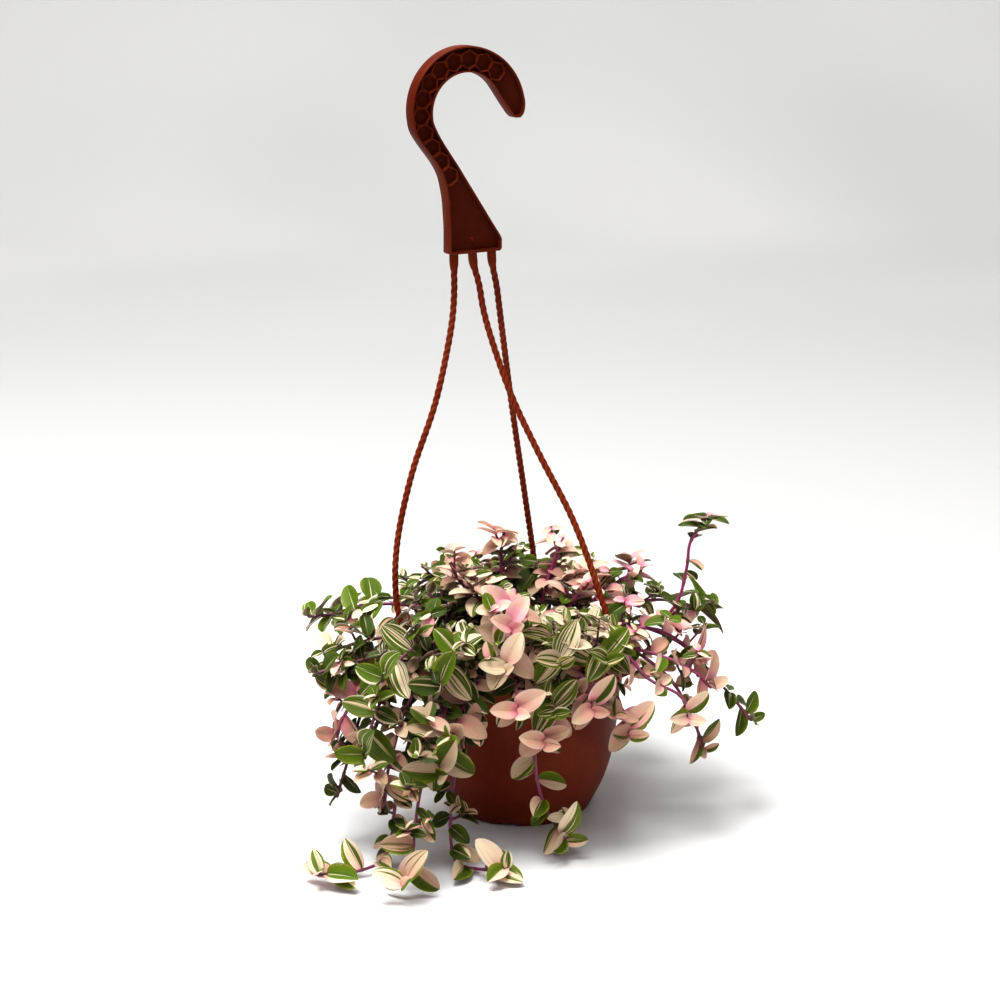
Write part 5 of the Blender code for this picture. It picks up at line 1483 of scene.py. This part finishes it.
def makePot(material):
    # One closed profile turned about Z, from the middle of the floor up the inside, over the rim and down
    pot, look = potValues, potLook
    rimBottom = pot["height"] - pot["rimDepth"]
    wallOut = hermite(np.array([*pot["outside"], (pot["rimRadius"] - pot["rimLip"], rimBottom)]), perSpan=5)
    wallOut = wallOut[::-1]
    wallIn = hermite(np.array([*pot["inside"], (pot["rimInside"], pot["height"])]), perSpan=6)
    inside = rounded([(0.0, pot["floor"]), (pot["baseRadius"] - pot["wall"], pot["floor"]),
                      tuple(wallIn[1])], look["floorFillet"])
    rim = rounded([tuple(wallIn[-2]), (pot["rimInside"], pot["height"]), (pot["rimRadius"], pot["height"]),
                   (pot["rimRadius"], rimBottom), tuple(wallOut[0]), tuple(wallOut[1])], look["fillet"])
    flare, flareHeight = look["baseFlare"]
    base = rounded([tuple(wallOut[-2]), (pot["baseRadius"] + flare, flareHeight), (pot["baseRadius"], 0.0),
                    (0.0, 0.0)], look["baseFillet"])
    profile = np.vstack([inside[:-1], wallIn[1:-2], rim[:-1], wallOut[1:-2], base])
    points, faces = joined([revolved(profile, pot["around"])]
                           + [lugPlate(azimuth) for azimuth in pot["lugAzimuths"].values()])
    piece = meshPiece("pot_turned", points, faces, [material], ["pot"], sharp=40)
    boxes = []
    for i in range(pot["drains"]):
        # a box along the radius at each drain: x out, y along the rim, z up
        x = np.array((pot["drainInner"], pot["baseRadius"] + 6.0))
        y = np.array((-1.0, 1.0)) * pot["drainWidth"] / 2
        z = np.array((-2.0, pot["drainHeight"]))
        corners = np.array([(a, b, c) for a in x for b in y for c in z]).T
        corners = turnedAboutZ(*corners, pot["drainFirst"] + i * 360 / pot["drains"])
        sides = [(0, 1, 3, 2), (4, 6, 7, 5), (0, 4, 5, 1), (2, 3, 7, 6), (0, 2, 6, 4), (1, 5, 7, 3)]
        boxes.append((corners, outwards(corners, sides)))
    points, faces = joined(boxes)
    cutterMesh = bpy.data.meshes.new("drain_cutter")
    cutterMesh.from_pydata((points * mm).tolist(), [], faces)
    cutter = newObject("drain_cutter", cutterMesh)
    cut = piece.modifiers.new("drains", "BOOLEAN")
    cut.operation, cut.solver, cut.object = "DIFFERENCE", "EXACT", cutter
    cut.use_self = True
    shape = bpy.data.meshes.new_from_object(piece.evaluated_get(bpy.context.evaluated_depsgraph_get()))
    piece.modifiers.clear()
    piece.data = shape
    bpy.data.objects.remove(cutter)


def makeSoil(material):
    # Top: z = top - sunk + sum of size / sqrt(count) * sin(a x + b y + c) over the waves + fine noise,
    # level at its edge; its sides and floor follow the pot's inside
    pot, look = potValues, soilLook
    draw = np.random.default_rng(stemValues["seed"])
    inside = np.array(pot["inside"]) - (gap, 0)
    (lowRadius, low), (highRadius, high) = inside[-1], (pot["rimInside"] - gap, pot["height"])
    topRadius = lowRadius + (highRadius - lowRadius) * (pot["soilTop"] - low) / (high - low)
    angle = circle(look["around"])
    r = topRadius * np.linspace(1.0 / look["rings"], 1.0, look["rings"])[:, None]
    x, y = r * np.cos(angle), r * np.sin(angle)
    height = np.zeros_like(x)
    for size, count, fineness in look["waves"]:
        for _ in range(count):
            way = draw.normal(0, fineness, 2)
            height += size / math.sqrt(count) * np.sin(way[0] * x + way[1] * y + draw.uniform(0, 6.28))
    height += draw.normal(0, look["grains"], height.shape)
    height *= smoothStep((topRadius - r) / look["edge"])
    top = np.stack([x, y, pot["soilTop"] - look["sunk"] + height], axis=-1)
    side = np.vstack([inside[::-1], [(pot["baseRadius"] - pot["wall"] - gap, pot["floor"] + gap)]])
    points, faces = closedTube(np.vstack([top, turnedRings(side, look["around"])]))
    meshPiece("soil_crumbly", points, outwards(points, faces), [material], ["soil"],
              sharp=60)


makePot(potMaterial())
makeSoil(soilMaterial())
print("pot and soil made")


# Stage: a pale sweep, soft light from the upper left, and the camera
stageValues = {
    "floorBehind": 2.0, "bend": 0.9, "halfWidth": 6.0, "front": -6.0, "height": 3.5,
    "floorDrop": 0.0004, "cloudScale": 1.3, "cloudFrom": (0.35, 0.65),
    "roughness": (0.9, 0.9), "specular": 0.1,
    # painted shade: the floor darkens from its middle back, the wall is painted lighter again, with cloudy
    # shade
    "pale": (0.74, 0.74, 0.73), "middle": (0.59, 0.587, 0.575),
    "wall": (0.77, 0.765, 0.745), "shade": (0.69, 0.69, 0.68),
    "middleFrom": (0.25, 0.6), "wallFrom": (1.2, 2.2),
    # power, size, place and turn in degrees of each light
    "lights": {"key": (98.0, 1.3, (-0.5, -0.3, 2.2), (9.0, -13.0, 0.0)),
               "front": (15.5, 1.8, (0.1, -1.9, 1.9), (46.0, 3.0, 0.0)),
               "back": (23.0, 2.5, (0.0, 1.7, 2.8), (-25.0, 0.0, 0.0))},
    "sky": 0.14,
    "cameraPlace": (-0.0126, -1.450, 0.580), "cameraPitch": 15.15, "lens": 92.88, "sensor": 36.0,
}


def makeSweep():
    # Floor, quarter circle and wall as one strip: y = b + R sin a, z = R (1 - cos a)
    own = stageValues
    angle = np.radians(np.linspace(0, 90, 25))
    y = np.concatenate([[own["front"]], own["floorBehind"] + own["bend"] * np.sin(angle),
                        [own["floorBehind"] + own["bend"]]])
    z = np.concatenate([[0.0], own["bend"] * (1 - np.cos(angle)), [own["height"]]]) - own["floorDrop"]
    points = [(x, a, b) for a, b in zip(y, z) for x in (-own["halfWidth"], own["halfWidth"])]
    faces = [(2 * i, 2 * i + 1, 2 * i + 3, 2 * i + 2) for i in range(len(y) - 1)]
    shader = Shader("stage_pale", own["pale"])
    place = shader.place()
    cloud = shader.noise(place, own["cloudScale"], 1.0)
    depth = shader.add("SeparateXYZ", {}, {"Vector": place}, output="Y")
    # painted shade: cloudy shade on the wall, the floor darker from its middle back, the wall lighter again
    colour = shader.tinted(own["shade"], own["wall"], cloud, *own["cloudFrom"])
    colour = shader.tinted(own["middle"], colour, depth, *own["wallFrom"])
    colour = shader.tinted(own["pale"], colour, depth, *own["middleFrom"])
    material = shader.surface(own, colour, 0.0)
    mesh = bpy.data.meshes.new("stage_sweep")
    mesh.from_pydata(points, [], faces)
    mesh.materials.append(material)
    mesh.polygons.foreach_set("use_smooth", [True] * len(faces))
    sweep = newObject("stage_sweep", mesh)


def makeLight(name, power, size, place, turn):
    # A square area light, turned by these degrees about X, Y and Z
    light = bpy.data.lights.new(name, "AREA")
    light.energy = power
    light.size = size
    lamp = newObject(name, light)
    lamp.location = place
    lamp.rotation_euler = [math.radians(angle) for angle in turn]


def makeCamera():
    # The photo's camera, which looks down by its pitch
    own = stageValues
    lens = bpy.data.cameras.new("photo_camera")
    lens.lens = own["lens"]
    lens.sensor_width = own["sensor"]
    lens.clip_start, lens.clip_end = 0.05, 100.0
    camera = newObject("photo_camera", lens)
    camera.location = own["cameraPlace"]
    camera.rotation_euler = (math.radians(90 - own["cameraPitch"]), 0.0, 0.0)
    bpy.context.scene.camera = camera


scene = bpy.context.scene
scene.world = bpy.data.worlds.new("stage_world")
scene.world.use_nodes = True
sky = scene.world.node_tree.nodes["Background"]
sky.inputs["Color"].default_value = (1.0, 1.0, 1.0, 1.0)
sky.inputs["Strength"].default_value = stageValues["sky"]
scene.view_settings.view_transform = "Standard"
makeSweep()
for kind, values in stageValues["lights"].items():
    makeLight(f"stage_{kind}", *values)
makeCamera()
print("stage made")
